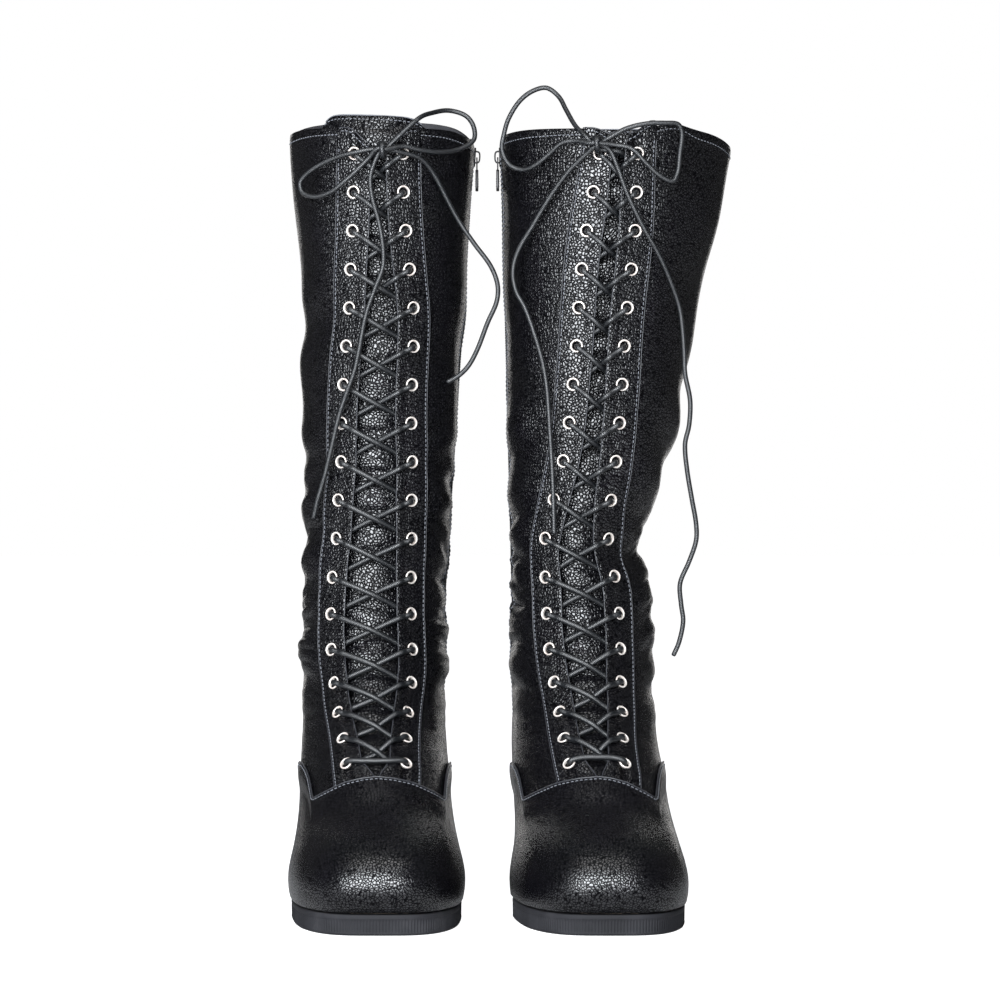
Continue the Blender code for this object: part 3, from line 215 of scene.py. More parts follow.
class Boot:
    def __init__(self, side):
        data = BOOTS[side]
        self.side = side
        self.m = data["m"]
        self.yaw = data["yaw"]
        foot = data["foot_x"]
        m = self.m
        low = [(z, foot - m * h) for z, h in FOOT_HALF]
        high = [(z, foot + m * h) for z, h in FOOT_HALF]
        self.outer = low + data["outer"]
        self.inner = high + data["inner"]
        self.spacing = data["spacing"]
        self.rings = {}

    def centre_x(self, y, z):
        mid = 0.5 * (soft_table(self.outer, z, 0.008) + soft_table(self.inner, z, 0.008))
        fade = np.clip((0.170 - np.asarray(z)) / 0.090, 0, 1)
        return mid - self.yaw * np.asarray(y) * fade

    def half(self, z):
        return 0.5 * np.abs(soft_table(self.inner, z, 0.008) - soft_table(self.outer, z, 0.008))

    def ring(self, v):
        key = round(v, 6)
        if key in self.rings:
            return self.rings[key]
        fy, fz, by, bz = ring_ends(v)
        phi = np.linspace(0, math.pi, 161)
        c, s = np.cos(phi), np.abs(np.sin(phi))
        n = np.where(c >= 0, table(FRONT_N, v), table(BACK_N, v))
        along = np.sign(c) * np.abs(c) ** (2 / n)
        across = s ** (2 / n)
        y = 0.5 * (fy + by) + 0.5 * (fy - by) * along
        z = 0.5 * (fz + bz) + 0.5 * (fz - bz) * along
        plan = 1 - (1 - table(PLAN, along)) * table(PLAN_FADE, v)
        wide = self.half(z) * across * plan
        mid = self.centre_x(y, z)
        found = []
        for sign in (1.0, -1.0):
            pts = np.stack([mid + sign * self.m * wide, y, z], axis=1)
            run = np.concatenate([[0.0], np.cumsum(np.linalg.norm(np.diff(pts, axis=0), axis=1))])
            found.append((pts, run))
        self.rings[key] = found
        return found

    def half_length(self, v, sign=1):
        return self.ring(v)[0 if sign > 0 else 1][1][-1]

    def at(self, u, v):
        """Point of the last surface: u 0 at the front centre, 1 at the inner-side back centre, -1 round the outer side."""
        v = min(max(v, 0.0), float(TOP_V))
        while u > 1.0:
            u -= 2.0
        while u < -1.0:
            u += 2.0
        pts, run = self.ring(v)[0 if u >= 0 else 1]
        d = abs(u) * run[-1]
        return np.array([np.interp(d, run, pts[:, k]) for k in range(3)])

    def normal(self, u, v):
        du, dv = 0.006, 0.04
        a = self.at(u + du, v) - self.at(u - du, v)
        lo, hi = max(v - dv, 0.0), min(v + dv, float(TOP_V))
        b = self.at(u, hi) - self.at(u, lo)
        n = np.cross(a, b) * self.m
        return n / np.linalg.norm(n)

    def off(self, u, v, height):
        return self.at(u, v) + self.normal(u, v) * height

    def mm_to_u(self, mm, v):
        """Signed distance from the front centre (+ inner side) as u."""
        return mm / self.half_length(v, 1 if mm >= 0 else -1)

    # eyelet columns -------------------------------------------------
    def column(self, distance):
        """Distance from the front centre line to an eyelet column, this far below the topline."""
        ds = [row_distance(r + 1) for r in range(ROWS)]
        return float(np.interp(distance, ds, np.array(self.spacing) * MM))

    def facing_in(self, distance):
        return max(self.column(distance) - FACING_IN, LEAST_HALF_GAP)

    def facing_out(self, distance):
        return self.column(distance) + FACING_OUT

    # zip line -------------------------------------------------------
    def zip_point(self, z):
        t = (z - ZIP_BOTTOM_Z) / (ZIP_TOP_Z - ZIP_BOTTOM_Z)
        y = ZIP_Y_BOTTOM + (ZIP_Y_TOP - ZIP_Y_BOTTOM) * t
        return np.array([float(soft_table(self.inner, z, 0.008)), y, z])

    def zip_u(self, v):
        """u where ring v meets the zip line."""
        pts, run = self.ring(v)[0]
        t = np.clip((pts[:, 2] - ZIP_BOTTOM_Z) / (ZIP_TOP_Z - ZIP_BOTTOM_Z), -0.3, 1.3)
        y = ZIP_Y_BOTTOM + (ZIP_Y_TOP - ZIP_Y_BOTTOM) * t
        over = pts[:, 1] - y
        i = int(np.argmax(over >= 0))
        i = max(i, 1)
        f = -over[i - 1] / (over[i] - over[i - 1])
        return (run[i - 1] + f * (run[i] - run[i - 1])) / run[-1]


# ---------------------------------------------------------------- seam lines
# Upper edge of the vamp: (share of the half way round, ring number)
VAMP_EDGE = [(0.0, 7.05), (0.07, 6.80), (0.14, 6.45), (0.27, 5.85), (0.31, 7.10), (0.38, 7.80), (0.48, 7.45), (0.62, 6.40), (0.74, 6.80), (0.84, 7.50), (0.94, 8.00), (1.0, 8.10), (1.06, 8.00)]
VAMP_COLUMNS = [0.0, 0.07, 0.14, 0.20, 0.27, 0.31, 0.38, 0.48, 0.62]
VAMP_ROWS = [0.0, 0.10, 0.22, 0.38, 0.58, 0.80, 1.0]
HEEL_COLUMNS = [0.632, 0.74, 0.84, 0.94, 1.0, 1.06, 1.16, 1.26, 1.368]
HEEL_ROWS = [0.0, 0.18, 0.42, 0.70, 1.0]
SEAM_GAP = 0.09  # in rings
FREE_LINE = 12  # cross lines from the topline down to this one stay level


def edge_v(u):
    u = abs(u)
    if u > 1.0:
        u = 2.0 - u
    return float(table(VAMP_EDGE, u))


def line_v(j, u):
    """Ring number of cross line j at u; the lower lines fan down to the vamp edge."""
    v = v_below(line_distance(j))
    if j <= FREE_LINE:
        return v
    top, low = v_below(line_distance(FREE_LINE)), v_below(line_distance(ROWS))
    foot = edge_v(u) + SEAM_GAP
    return foot + (top - foot) * (v - low) / (top - low)


def facing_u(boot, sign, j, which):
    """u of a facing edge at cross line j: 'in', 'out', 'under' (quarter's hidden edge) or 'stay_in', 'stay_out'."""
    d = line_distance(j)
    mm = {
        "in": boot.facing_in(d),
        "out": boot.facing_out(d),
        "under": boot.facing_out(d) - 5.0 * MM,
        "stay_in": boot.facing_in(d) + 1.5 * MM,
        "stay_out": boot.facing_out(d) - 6.4 * MM,
    }[which]
    v = v_below(d)
    return sign * mm / boot.half_length(v, sign)


def mix(a, b, t):
    return a + (b - a) * t


def quarter_columns(boot, sign, part, j):
    """u of every column of a quarter panel on cross line j."""
    v = v_below(line_distance(j))
    top, low = v_below(line_distance(FREE_LINE)), v_below(line_distance(ROWS))
    w = min(max((top - v) / (top - low), 0.0), 1.0) ** 1.5
    length = boot.half_length(v, sign)
    if part == "outer":
        first, last = abs(facing_u(boot, sign, j, "under")), 0.94
        low_cols = [0.14, 0.27, 0.31, 0.38, 0.48, 0.62, 0.74, 0.84]
        n = len(low_cols)
        cols = [mix(mix(first, last, (k + 1) / (n + 1)), low_cols[k], w) for k in range(n)]
        return [sign * c for c in [first] + cols + [last]]
    zip_u = boot.zip_u(v)
    z = boot.at(zip_u, v)[2]
    close = min(max((z - 0.136) / 0.016, 0.0), 1.0)
    edge = mix(0.35 * MM, ZIP_EDGE, close) / length
    clear = mix(3.0 * MM, ZIP_CLEAR, close) / length
    if part == "front":
        first = abs(facing_u(boot, sign, j, "under"))
        last, last2 = zip_u - edge, zip_u - clear
        low_cols = [0.14, 0.27, 0.31, 0.38, 0.48]
        n = len(low_cols)
        cols = [mix(mix(first, last2, (k + 1) / (n + 1)), low_cols[k], w) for k in range(n)]
        return [first] + cols + [last2, last]
    first, first2, last = zip_u + edge, zip_u + clear, 0.94
    low_cols = [0.74, 0.84]
    n = len(low_cols)
    cols = [mix(mix(first2, last, (k + 1) / (n + 1)), low_cols[k], w) for k in range(n)]
    return [first, first2] + cols + [last]


QUARTER_LINES = [0, 2, 4, 5, 6, 7, 8, 9, 10, 11, 12, 13, 14, 15, 16, 17, 18]


def quarter_grid(boot, sign, part):
    return [[(u, line_v(j, u)) for u in quarter_columns(boot, sign, part, j)] for j in QUARTER_LINES]


BOWS = {
    "right": dict(
        knot=(-0.0630, 0.4395),
        out_loop=[(-0.0150, -0.0005), (-0.0280, -0.0035), (-0.0410, -0.0095), (-0.0480, -0.0160), (-0.0470, -0.0225), (-0.0395, -0.0255), (-0.0300, -0.0232), (-0.0225, -0.0180), (-0.0150, -0.0115), (-0.0075, -0.0040)],
        out_tail=[(-0.0018, -0.0013), (-0.0065, -0.0147), (-0.0053, -0.0275), (-0.0018, -0.0404), (0.0006, -0.0544), (0.0006, -0.0667), (-0.0041, -0.0796), (-0.0094, -0.0948), (-0.0140, -0.1182), (-0.0164, -0.1281), (-0.0205, -0.1392), (-0.0252, -0.1527), (-0.0298, -0.1714), (-0.0339, -0.1878), (-0.0380, -0.2012), (-0.0410, -0.2135)],
        in_loop=[(0.0210, 0.0193), (0.0304, 0.0246), (0.0392, 0.0263), (0.0486, 0.0234), (0.0532, 0.0170), (0.0532, 0.0088), (0.0445, 0.0029), (0.0333, 0.0006), (0.0222, 0.0012), (0.0129, 0.0029)],
        in_tail=[(0.0117, -0.0006), (0.0222, -0.0035), (0.0298, -0.0117), (0.0374, -0.0257), (0.0445, -0.0386), (0.0538, -0.0521), (0.0632, -0.0649), (0.0673, -0.0760), (0.0667, -0.0860), (0.0614, -0.0983), (0.0556, -0.1135), (0.0503, -0.1234), (0.0445, -0.1293), (0.0374, -0.1334)],
    ),
    "left": dict(
        knot=(0.0613, 0.4430),
        in_loop=[(-0.0053, 0.0047), (-0.0117, 0.0123), (-0.0170, 0.0228), (-0.0211, 0.0310), (-0.0281, 0.0363), (-0.0363, 0.0345), (-0.0439, 0.0287), (-0.0503, 0.0187), (-0.0532, 0.0094), (-0.0544, 0.0000), (-0.0503, -0.0088), (-0.0427, -0.0123), (-0.0357, -0.0105), (-0.0263, -0.0035), (-0.0199, 0.0018), (-0.0117, 0.0029)],
        in_tail=[(-0.0053, -0.0047), (-0.0158, -0.0146), (-0.0263, -0.0287), (-0.0363, -0.0450), (-0.0450, -0.0597), (-0.0480, -0.0714), (-0.0462, -0.0831), (-0.0410, -0.0930), (-0.0345, -0.1117), (-0.0304, -0.1269), (-0.0281, -0.1416), (-0.0263, -0.1685), (-0.0252, -0.1872), (-0.0246, -0.2012), (-0.0240, -0.2260)],
        out_loop=[(0.0076, 0.0041), (0.0176, 0.0094), (0.0293, 0.0123), (0.0410, 0.0129), (0.0480, 0.0123), (0.0503, 0.0070), (0.0491, -0.0047), (0.0480, -0.0146), (0.0450, -0.0205), (0.0374, -0.0176), (0.0293, -0.0105), (0.0211, -0.0023), (0.0117, 0.0000)],
        out_tail=[(0.0076, -0.0023), (0.0123, -0.0117), (0.0187, -0.0287), (0.0281, -0.0474), (0.0374, -0.0632), (0.0450, -0.0796), (0.0503, -0.0954), (0.0526, -0.1176), (0.0532, -0.1316), (0.0562, -0.1474), (0.0556, -0.1620), (0.0532, -0.1732), (0.0544, -0.1884), (0.0573, -0.2059), (0.0597, -0.2199), (0.0597, -0.2299), (0.0556, -0.2422), (0.0503, -0.2550), (0.0509, -0.2673), (0.0521, -0.2772), (0.0497, -0.2895), (0.0462, -0.2977)],
    ),
}
TAIL_CLEAR = 9.5 * MM
HANG_Y = -0.0400




# ================================================================ surface grids
def blur(a, k, axis):
    """Moving average of 2k+1 taps along an axis, ends held."""
    pad = [(0, 0)] * a.ndim
    pad[axis] = (k, k)
    b = np.pad(a, pad, mode="edge")
    c = np.cumsum(b, axis=axis)
    c = np.concatenate([np.zeros_like(np.take(c, [0], axis)), c], axis=axis)
    n = a.shape[axis]
    hi = np.take(c, np.arange(2 * k + 1, 2 * k + 1 + n), axis)
    lo = np.take(c, np.arange(0, n), axis)
    return (hi - lo) / (2 * k + 1)


# Folds of the shaft leather: (distance round from the front centre in mm, + inner side; height in mm;
# half length, half width in mm; tilt in degrees; depth in mm, + inwards)
FOLDS = {
    "right": [
        (58, 262, 30, 7, 8, 2.2), (66, 246, 34, 8, -12, 3.0), (60, 226, 26, 6, 14, 1.6),
        (70, 190, 26, 6, -10, 1.7), (66, 168, 22, 5, 18, 1.5), (72, 148, 30, 6, -4, 1.9),
        (-58, 338, 36, 12, 6, 2.4), (-62, 262, 30, 7, -8, 1.8), (-52, 246, 24, 6, 12, 1.5),
        (-64, 214, 34, 8, 4, 2.2), (-60, 190, 26, 6, -14, 1.5), (-66, 160, 30, 7, 10, 1.9),
        (-70, 132, 34, 7, -6, 1.9), (74, 126, 30, 6, 10, 1.8), (150, 150, 60, 8, 0, 2.4),
        (-150, 168, 60, 8, 3, 2.2), (150, 215, 60, 9, -4, 2.2), (-140, 236, 60, 9, 4, 2.0),
        (120, 320, 60, 14, 5, 1.8), (-120, 300, 60, 14, -5, 1.8), (60, 330, 30, 14, 16, 1.4),
        (-64, 176, 18, 4, 30, 1.0), (62, 206, 18, 4, -24, 1.0),
    ],
    "left": [
        (-62, 222, 34, 8, 16, 2.2), (-58, 205, 38, 8, -6, 3.2), (-66, 186, 30, 6, 12, 1.6),
        (-62, 166, 28, 6, -12, 1.7), (-68, 146, 30, 6, 8, 1.7), (-70, 126, 32, 7, -4, 1.8),
        (-70, 262, 40, 12, 24, 2.2), (-86, 300, 50, 14, 30, 1.8), (60, 206, 26, 6, 10, 2.4),
        (64, 196, 22, 5, -14, 1.6), (58, 226, 26, 7, -10, 1.8), (62, 176, 24, 6, 14, 1.6),
        (66, 150, 28, 6, -8, 1.7), (70, 128, 30, 6, 6, 1.7), (60, 262, 30, 9, -18, 1.8),
        (56, 300, 30, 10, 14, 1.4), (150, 205, 60, 9, 4, 2.4), (-150, 190, 60, 9, -4, 2.2),
        (150, 150, 60, 8, 0, 2.2), (-150, 240, 60, 10, 6, 2.0), (120, 330, 60, 15, 4, 1.8),
        (-60, 176, 18, 4, -30, 1.0), (58, 190, 18, 4, 26, 1.0),
    ],
}


class Surf:
    """A dense sampled copy of one boot's surface, with its folds, read by (u, v)."""

    NU, NV = 601, 721

    def __init__(self, side):
        boot = Boot(side)
        self.boot, self.side, self.m = boot, side, boot.m
        nu, nv = self.NU, self.NV
        self.us = np.linspace(-1.0, 1.0, nu)
        self.vs = np.linspace(0.0, TOP_V, nv)
        P = np.zeros((nv, nu, 3))
        half = np.zeros((nv, 2))
        mid = (nu - 1) // 2
        for i, v in enumerate(self.vs):
            for k, sel in ((0, slice(mid, nu)), (1, slice(0, mid + 1))):
                pts, run = boot.ring(float(v))[k]
                d = np.abs(self.us[sel]) * run[-1]
                for c in range(3):
                    P[i, sel, c] = np.interp(d, run, pts[:, c])
                half[i, k] = run[-1]
        self.half = half
        # soften small kinks of the tables along the height
        for c in range(3):
            P[:, :, c] = blur(P[:, :, c], 5, 0)
        N = self.normals(P)
        D = self.folds(P, half)
        self.P = P + N * D[..., None]
        self.N = self.normals(self.P)

    def normals(self, P):
        Pu = np.gradient(P, axis=1)
        Pu[:, 0] = Pu[:, -1] = P[:, 1] - P[:, -2]
        Pv = np.gradient(P, axis=0)
        n = np.cross(Pu, Pv) * self.m
        n /= np.maximum(np.linalg.norm(n, axis=2, keepdims=True), 1e-12)
        n = np.stack([blur(n[:, :, c], 2, 0) for c in range(3)], axis=2)
        n /= np.maximum(np.linalg.norm(n, axis=2, keepdims=True), 1e-12)
        return n

    def folds(self, P, half):
        u = self.us[None, :]
        h = np.where(u >= 0, half[:, 0:1], half[:, 1:2])
        s = u * h * 1000.0
        z = P[:, :, 2] * 1000.0
        rng = np.random.RandomState(11 if self.side == "right" else 23)
        ang = np.pi * u + 0 * z
        q = np.stack([48 * np.cos(ang), 48 * np.sin(ang), z], axis=2)
        soft = np.zeros_like(z)
        for _ in range(26):
            k = rng.normal(size=3)
            k /= np.linalg.norm(k)
            k *= 2 * np.pi / rng.uniform(38, 95)
            soft += np.sin(q @ k + rng.uniform(0, 6.28))
        soft /= 26 ** 0.5
        warp = soft * 5.0
        crease = np.zeros_like(z)
        for _ in range(7):
            lam = rng.uniform(13, 34)
            ph = rng.uniform(0, 6.28)
            drift = rng.uniform(-0.012, 0.012)
            wave = np.sin(2 * np.pi * (z + warp * rng.uniform(0.6, 1.4)) / lam + drift * s + ph)
            crease += -np.abs(wave) ** 1.6 * rng.uniform(0.5, 1.0)
        crease = crease / 7 + 0.4
        # where the leather creases: the ankle most, the calf little, the foot hardly
        ankle = np.exp(-(((z - 165) / 75.0) ** 2))
        shaft = np.clip((z - 85) / 45, 0, 1)
        front = np.clip((np.abs(s) - 26) / 22, 0, 1)
        calm_zip = 1 - 0.75 * np.exp(-(((u - 0.50) / 0.035) ** 2))
        D = -0.9 * soft * (0.25 + 0.75 * shaft) * (0.35 + 0.65 * front) - 3.0 * crease * ankle * shaft * front
        for s0, z0, hl, hw, tilt, depth in FOLDS[self.side]:
            t = math.radians(tilt)
            ds, dz = s - s0, z - z0
            a = ds * math.cos(t) + dz * math.sin(t)
            b = -ds * math.sin(t) + dz * math.cos(t) + 0.004 * ds * ds * (0.5 if s0 > 0 else -0.5) * 0.3 + warp * 0.3
            env = np.exp(-((a / hl) ** 2) * 1.2)
            prof = np.exp(-((b / hw) ** 2)) - 0.55 * np.exp(-(((b - 1.9 * hw) / (1.1 * hw)) ** 2)) - 0.35 * np.exp(-(((b + 1.9 * hw) / (1.1 * hw)) ** 2))
            D -= depth * env * prof
        D *= calm_zip
        # the vamp keeps only a hint of softness
        foot = np.clip((z - 60) / 30, 0, 1)
        D *= 0.12 + 0.88 * foot
        fade_top = np.clip((460 - z) / 18, 0.25, 1)
        D *= fade_top
        # the facings and the tongue line stay calm in front
        D *= 0.30 + 0.70 * np.clip((np.abs(s) - 18) / 26, 0, 1)
        return np.clip(D, -4.5, 2.2) * 0.001 * np.clip(self.vs[:, None] / 2.0, 0, 1)

    def read(self, grid, U, V):
        U = (np.asarray(U, float) + 1.0) % 2.0 - 1.0
        fu = (U + 1.0) * 0.5 * (self.NU - 1)
        fv = np.clip(np.asarray(V, float), 0, TOP_V) / TOP_V * (self.NV - 1)
        i = np.clip(fv.astype(int), 0, self.NV - 2)
        j = np.clip(fu.astype(int), 0, self.NU - 2)
        a, b = (fv - i)[..., None], (fu - j)[..., None]
        return (grid[i, j] * (1 - a) + grid[i + 1, j] * a) * (1 - b) + (grid[i, j + 1] * (1 - a) + grid[i + 1, j + 1] * a) * b

    def at(self, U, V, H=0.0):
        """Points at height H (metres) over the surface. Above the topline the surface carries on straight up."""
        V = np.asarray(V, float)
        p = self.read(self.P, U, V)
        n = self.read(self.N, U, V)
        n = n / np.maximum(np.linalg.norm(n, axis=-1, keepdims=True), 1e-12)
        q = p + n * np.asarray(H)[..., None]
        over = np.clip(V - TOP_V, 0, None)
        q[..., 2] += over * 0.0225
        return q

    def nrm(self, U, V):
        n = self.read(self.N, U, V)
        return n / np.maximum(np.linalg.norm(n, axis=-1, keepdims=True), 1e-12)

    def length(self, V, sign):
        f = np.clip(np.asarray(V, float), 0, TOP_V) / TOP_V * (self.NV - 1)
        return np.interp(f, np.arange(self.NV), self.half[:, 0 if sign > 0 else 1])


V_OF_D = (np.linspace(0, FRONT_DOWN[-1], 900), None)
V_TABLE = np.interp(V_OF_D[0], FRONT_DOWN, FRONT_V)


def v_of(d):
    """Ring number this far below the topline; above it the number goes on past the last ring."""
    d = np.asarray(d, float)
    return np.where(d < 0, TOP_V - d / 0.0225, np.interp(d, V_OF_D[0], V_TABLE))


D_FINE = np.linspace(0, row_distance(ROWS) + 0.02, 500)


def smooth_column(boot):
    ds = np.array([row_distance(r + 1) for r in range(ROWS)])
    c = np.interp(D_FINE, ds, np.array(boot.spacing) * MM)
    return blur(c[None, :], 14, 1)[0]


# where the V notch of the vamp's edge falls on the outer and the inner side of each boot
NOTCHES = {"right": (0.192, 0.212), "left": (0.150, 0.256)}
BOOT_NOW = ["right"]


def edge_fine(u):
    """The vamp's top edge with its V notch and rounded ear drawn finely."""
    xs = [0, 0.035, 0.08, 0.127, 0.160, 0.183, 0.194, 0.200, 0.208, 0.220, 0.238, 0.265, 0.305, 0.350, 0.400, 0.450, 0.50, 0.56, 0.62, 0.68, 0.74, 0.80, 0.86, 0.92, 0.97, 1.0]
    vs = [7.02, 6.96, 6.80, 6.52, 6.34, 6.22, 6.17, 6.20, 6.42, 6.74, 7.10, 7.42, 7.68, 7.80, 7.78, 7.62, 7.28, 6.82, 6.42, 6.48, 6.78, 7.15, 7.60, 7.92, 8.07, 8.10]
    w = (np.asarray(u, float) + 1) % 2 - 1
    outer, inner = NOTCHES[BOOT_NOW[0]]
    a = np.where(w < 0, np.interp(-w, [0, outer, 0.45, 1.0], [0, 0.194, 0.45, 1.0]), np.interp(w, [0, inner, 0.45, 1.0], [0, 0.194, 0.45, 1.0]))
    return np.interp(a, xs, vs)


TOPLINE_DIPS = {"right": (0.35, 0.19), "left": (0.17, 0.35)}


def topline(side, u):
    """Ring number of the topline, which dips at both sides of the leg."""
    a = (np.asarray(u, float) + 1) % 2 - 1
    inner, outer = TOPLINE_DIPS[side]
    dip = np.where(a >= 0, inner, outer)
    back = 0.27 if side == "left" else 0.02
    corner = 0.15 * np.exp(-(((a + 0.15) / 0.055) ** 2)) if side == "left" else 0.0
    return TOP_V + corner - dip * np.exp(-(((np.abs(a) - 0.5) / 0.22) ** 2)) - back * np.exp(-(((np.abs(a) - 1.0) / 0.42) ** 2))


# ================================================================ mesh tools
def make(name, verts, faces, mat, smooth=True):
    mesh = bpy.data.meshes.new(name)
    verts = np.asarray(verts, float)
    mesh.from_pydata(verts.tolist(), [], faces if isinstance(faces, list) else faces.tolist())
    mesh.update()
    mesh.polygons.foreach_set("use_smooth", [smooth] * len(mesh.polygons))
    obj = bpy.data.objects.new(name, mesh)
    mesh.materials.append(mat)
    bpy.context.scene.collection.objects.link(obj)
    return obj


def signed_volume(verts, faces):
    f = np.asarray(faces)
    a, b, c = verts[f[:, 0]], verts[f[:, 1]], verts[f[:, 2]]
    v = np.einsum("ij,ij->i", a, np.cross(b, c)).sum()
    if f.shape[1] == 4:
        d = verts[f[:, 3]]
        v += np.einsum("ij,ij->i", a, np.cross(c, d)).sum()
    return v


def sheet_mesh(surf, name, U, V, lo, hi, mat, wrap=False):
    """Closed leather sheet over grids of u and v: lo and hi are heights (arrays or numbers) of its two faces."""
    U, V = np.broadcast_arrays(np.asarray(U, float), np.asarray(V, float))
    lo = np.broadcast_to(np.asarray(lo, float), U.shape)
    hi = np.broadcast_to(np.asarray(hi, float), U.shape)
    A, B = surf.at(U, V, lo), surf.at(U, V, hi)
    A[..., 2] = np.maximum(A[..., 2], 0.01185)
    B[..., 2] = np.maximum(B[..., 2], 0.01175)
    r, c = U.shape
    verts = np.concatenate([A.reshape(-1, 3), B.reshape(-1, 3)])
    idx = np.arange(r * c).reshape(r, c)
    q = np.stack([idx[:-1, :-1], idx[:-1, 1:], idx[1:, 1:], idx[1:, :-1]], axis=-1).reshape(-1, 4)
    faces = [q, (q + r * c)[:, ::-1]]
    rim = np.concatenate([idx[0, :], idx[1:, -1], idx[-1, -2::-1], idx[-2:0:-1, 0]])
    nx = np.roll(rim, -1)
    faces.append(np.stack([nx, rim, rim + r * c, nx + r * c], axis=-1))
    faces = np.concatenate(faces)
    if signed_volume(verts, faces) < 0:
        faces = faces[:, ::-1]
    return make(name, verts, faces, mat)


def edged(n, first=0.004, second=0.010):
    """Parameter values 0..1 with close lines at both ends, so that edges can be rounded."""
    mid = np.linspace(0, 1, n)[1:-1]
    mid = mid[(mid > second * 1.6) & (mid < 1 - second * 1.6)]
    return np.concatenate([[0, first, second], mid, [1 - second, 1 - first, 1]])


def edge_heights(shape, lo, hi, rows=True, cols=True):
    """Outer and inner heights that round off at the borders of the grid."""
    mid = 0.5 * (np.asarray(lo) + np.asarray(hi))
    k = np.ones(shape)
    prof = [0.12, 0.72, 1.0]
    if rows:
        for i, p in enumerate(prof):
            k[i, :] = np.minimum(k[i, :], p)
            k[-1 - i, :] = np.minimum(k[-1 - i, :], p)
    if cols:
        for i, p in enumerate(prof):
            k[:, i] = np.minimum(k[:, i], p)
            k[:, -1 - i] = np.minimum(k[:, -1 - i], p)
    return mid + (lo - mid) * k, mid + (hi - mid) * k


def resample(path, step):
    path = np.asarray(path, float)
    seg = np.linalg.norm(np.diff(path, axis=0), axis=1)
    run = np.concatenate([[0], np.cumsum(seg)])
    n = max(int(round(run[-1] / step)), 2)
    t = np.linspace(0, run[-1], n + 1)
    return np.stack([np.interp(t, run, path[:, k]) for k in range(3)], axis=1)


def spline(points, per=8, closed=False):
    """Catmull-Rom curve through points."""
    p = np.asarray(points, float)
    if closed:
        p = np.concatenate([p[-1:], p, p[:2]])
    else:
        p = np.concatenate([2 * p[:1] - p[1:2], p, 2 * p[-1:] - p[-2:-1]])
    out = []
    for i in range(1, len(p) - 2):
        d1 = max(np.linalg.norm(p[i + 1] - p[i]), 1e-7)
        m1 = (p[i + 1] - p[i - 1]) / (np.linalg.norm(p[i + 1] - p[i]) + np.linalg.norm(p[i] - p[i - 1]) + 1e-9) * d1
        m2 = (p[i + 2] - p[i]) / (np.linalg.norm(p[i + 2] - p[i + 1]) + np.linalg.norm(p[i + 1] - p[i]) + 1e-9) * d1
        for t in np.linspace(0, 1, per, endpoint=False):
            t2, t3 = t * t, t * t * t
            out.append((2 * t3 - 3 * t2 + 1) * p[i] + (t3 - 2 * t2 + t) * m1 + (-2 * t3 + 3 * t2) * p[i + 1] + (t3 - t2) * m2)
    if not closed:
        out.append(p[-2])
    return np.array(out)


def tube_mesh(path, radius, sides=12, closed=False, caps=True, taper=0):
    """Vertices, faces and the distance along the path at each ring of a round cord."""
    path = np.asarray(path, float)
    n = len(path)
    if closed:
        tang = np.roll(path, -1, 0) - np.roll(path, 1, 0)
    else:
        tang = np.gradient(path, axis=0)
    tang /= np.maximum(np.linalg.norm(tang, axis=1)[:, None], 1e-12)
    ref = np.array([0.0, 1.0, 0.0]) if abs(tang[0][1]) < 0.9 else np.array([1.0, 0.0, 0.0])
    side = ref - tang[0] * (ref @ tang[0])
    side /= np.linalg.norm(side)
    sides_list = np.zeros_like(path)
    for i in range(n):
        side = side - tang[i] * (side @ tang[i])
        side /= max(np.linalg.norm(side), 1e-12)
        sides_list[i] = side
    up = np.cross(tang, sides_list)
    rad = np.full(n, radius) if np.ndim(radius) == 0 else np.asarray(radius, float)
    a = 2 * np.pi * np.arange(sides) / sides
    ring = np.cos(a)[None, :, None] * sides_list[:, None, :] + np.sin(a)[None, :, None] * up[:, None, :]
    verts = (path[:, None, :] + ring * rad[:, None, None]).reshape(-1, 3)
    idx = np.arange(n * sides).reshape(n, sides)
    nxt = np.roll(idx, -1, axis=1)
    if closed:
        q = np.stack([idx, nxt, np.roll(nxt, -1, 0), np.roll(idx, -1, 0)], axis=-1).reshape(-1, 4)
        faces = q.tolist()
    else:
        q = np.stack([idx[:-1], nxt[:-1], nxt[1:], idx[1:]], axis=-1).reshape(-1, 4)
        faces = q.tolist()
        if caps:
            faces.append(idx[0, ::-1].tolist())
            faces.append(idx[-1].tolist())
    run = np.concatenate([[0], np.cumsum(np.linalg.norm(np.diff(path, axis=0), axis=1))])
    return verts, faces, run


def merge(parts):
    verts, faces, base = [], [], 0
    for v, f in parts:
        verts.append(np.asarray(v))
        faces += [[int(k) + base for k in face] for face in f]
        base += len(v)
    return np.concatenate(verts), faces


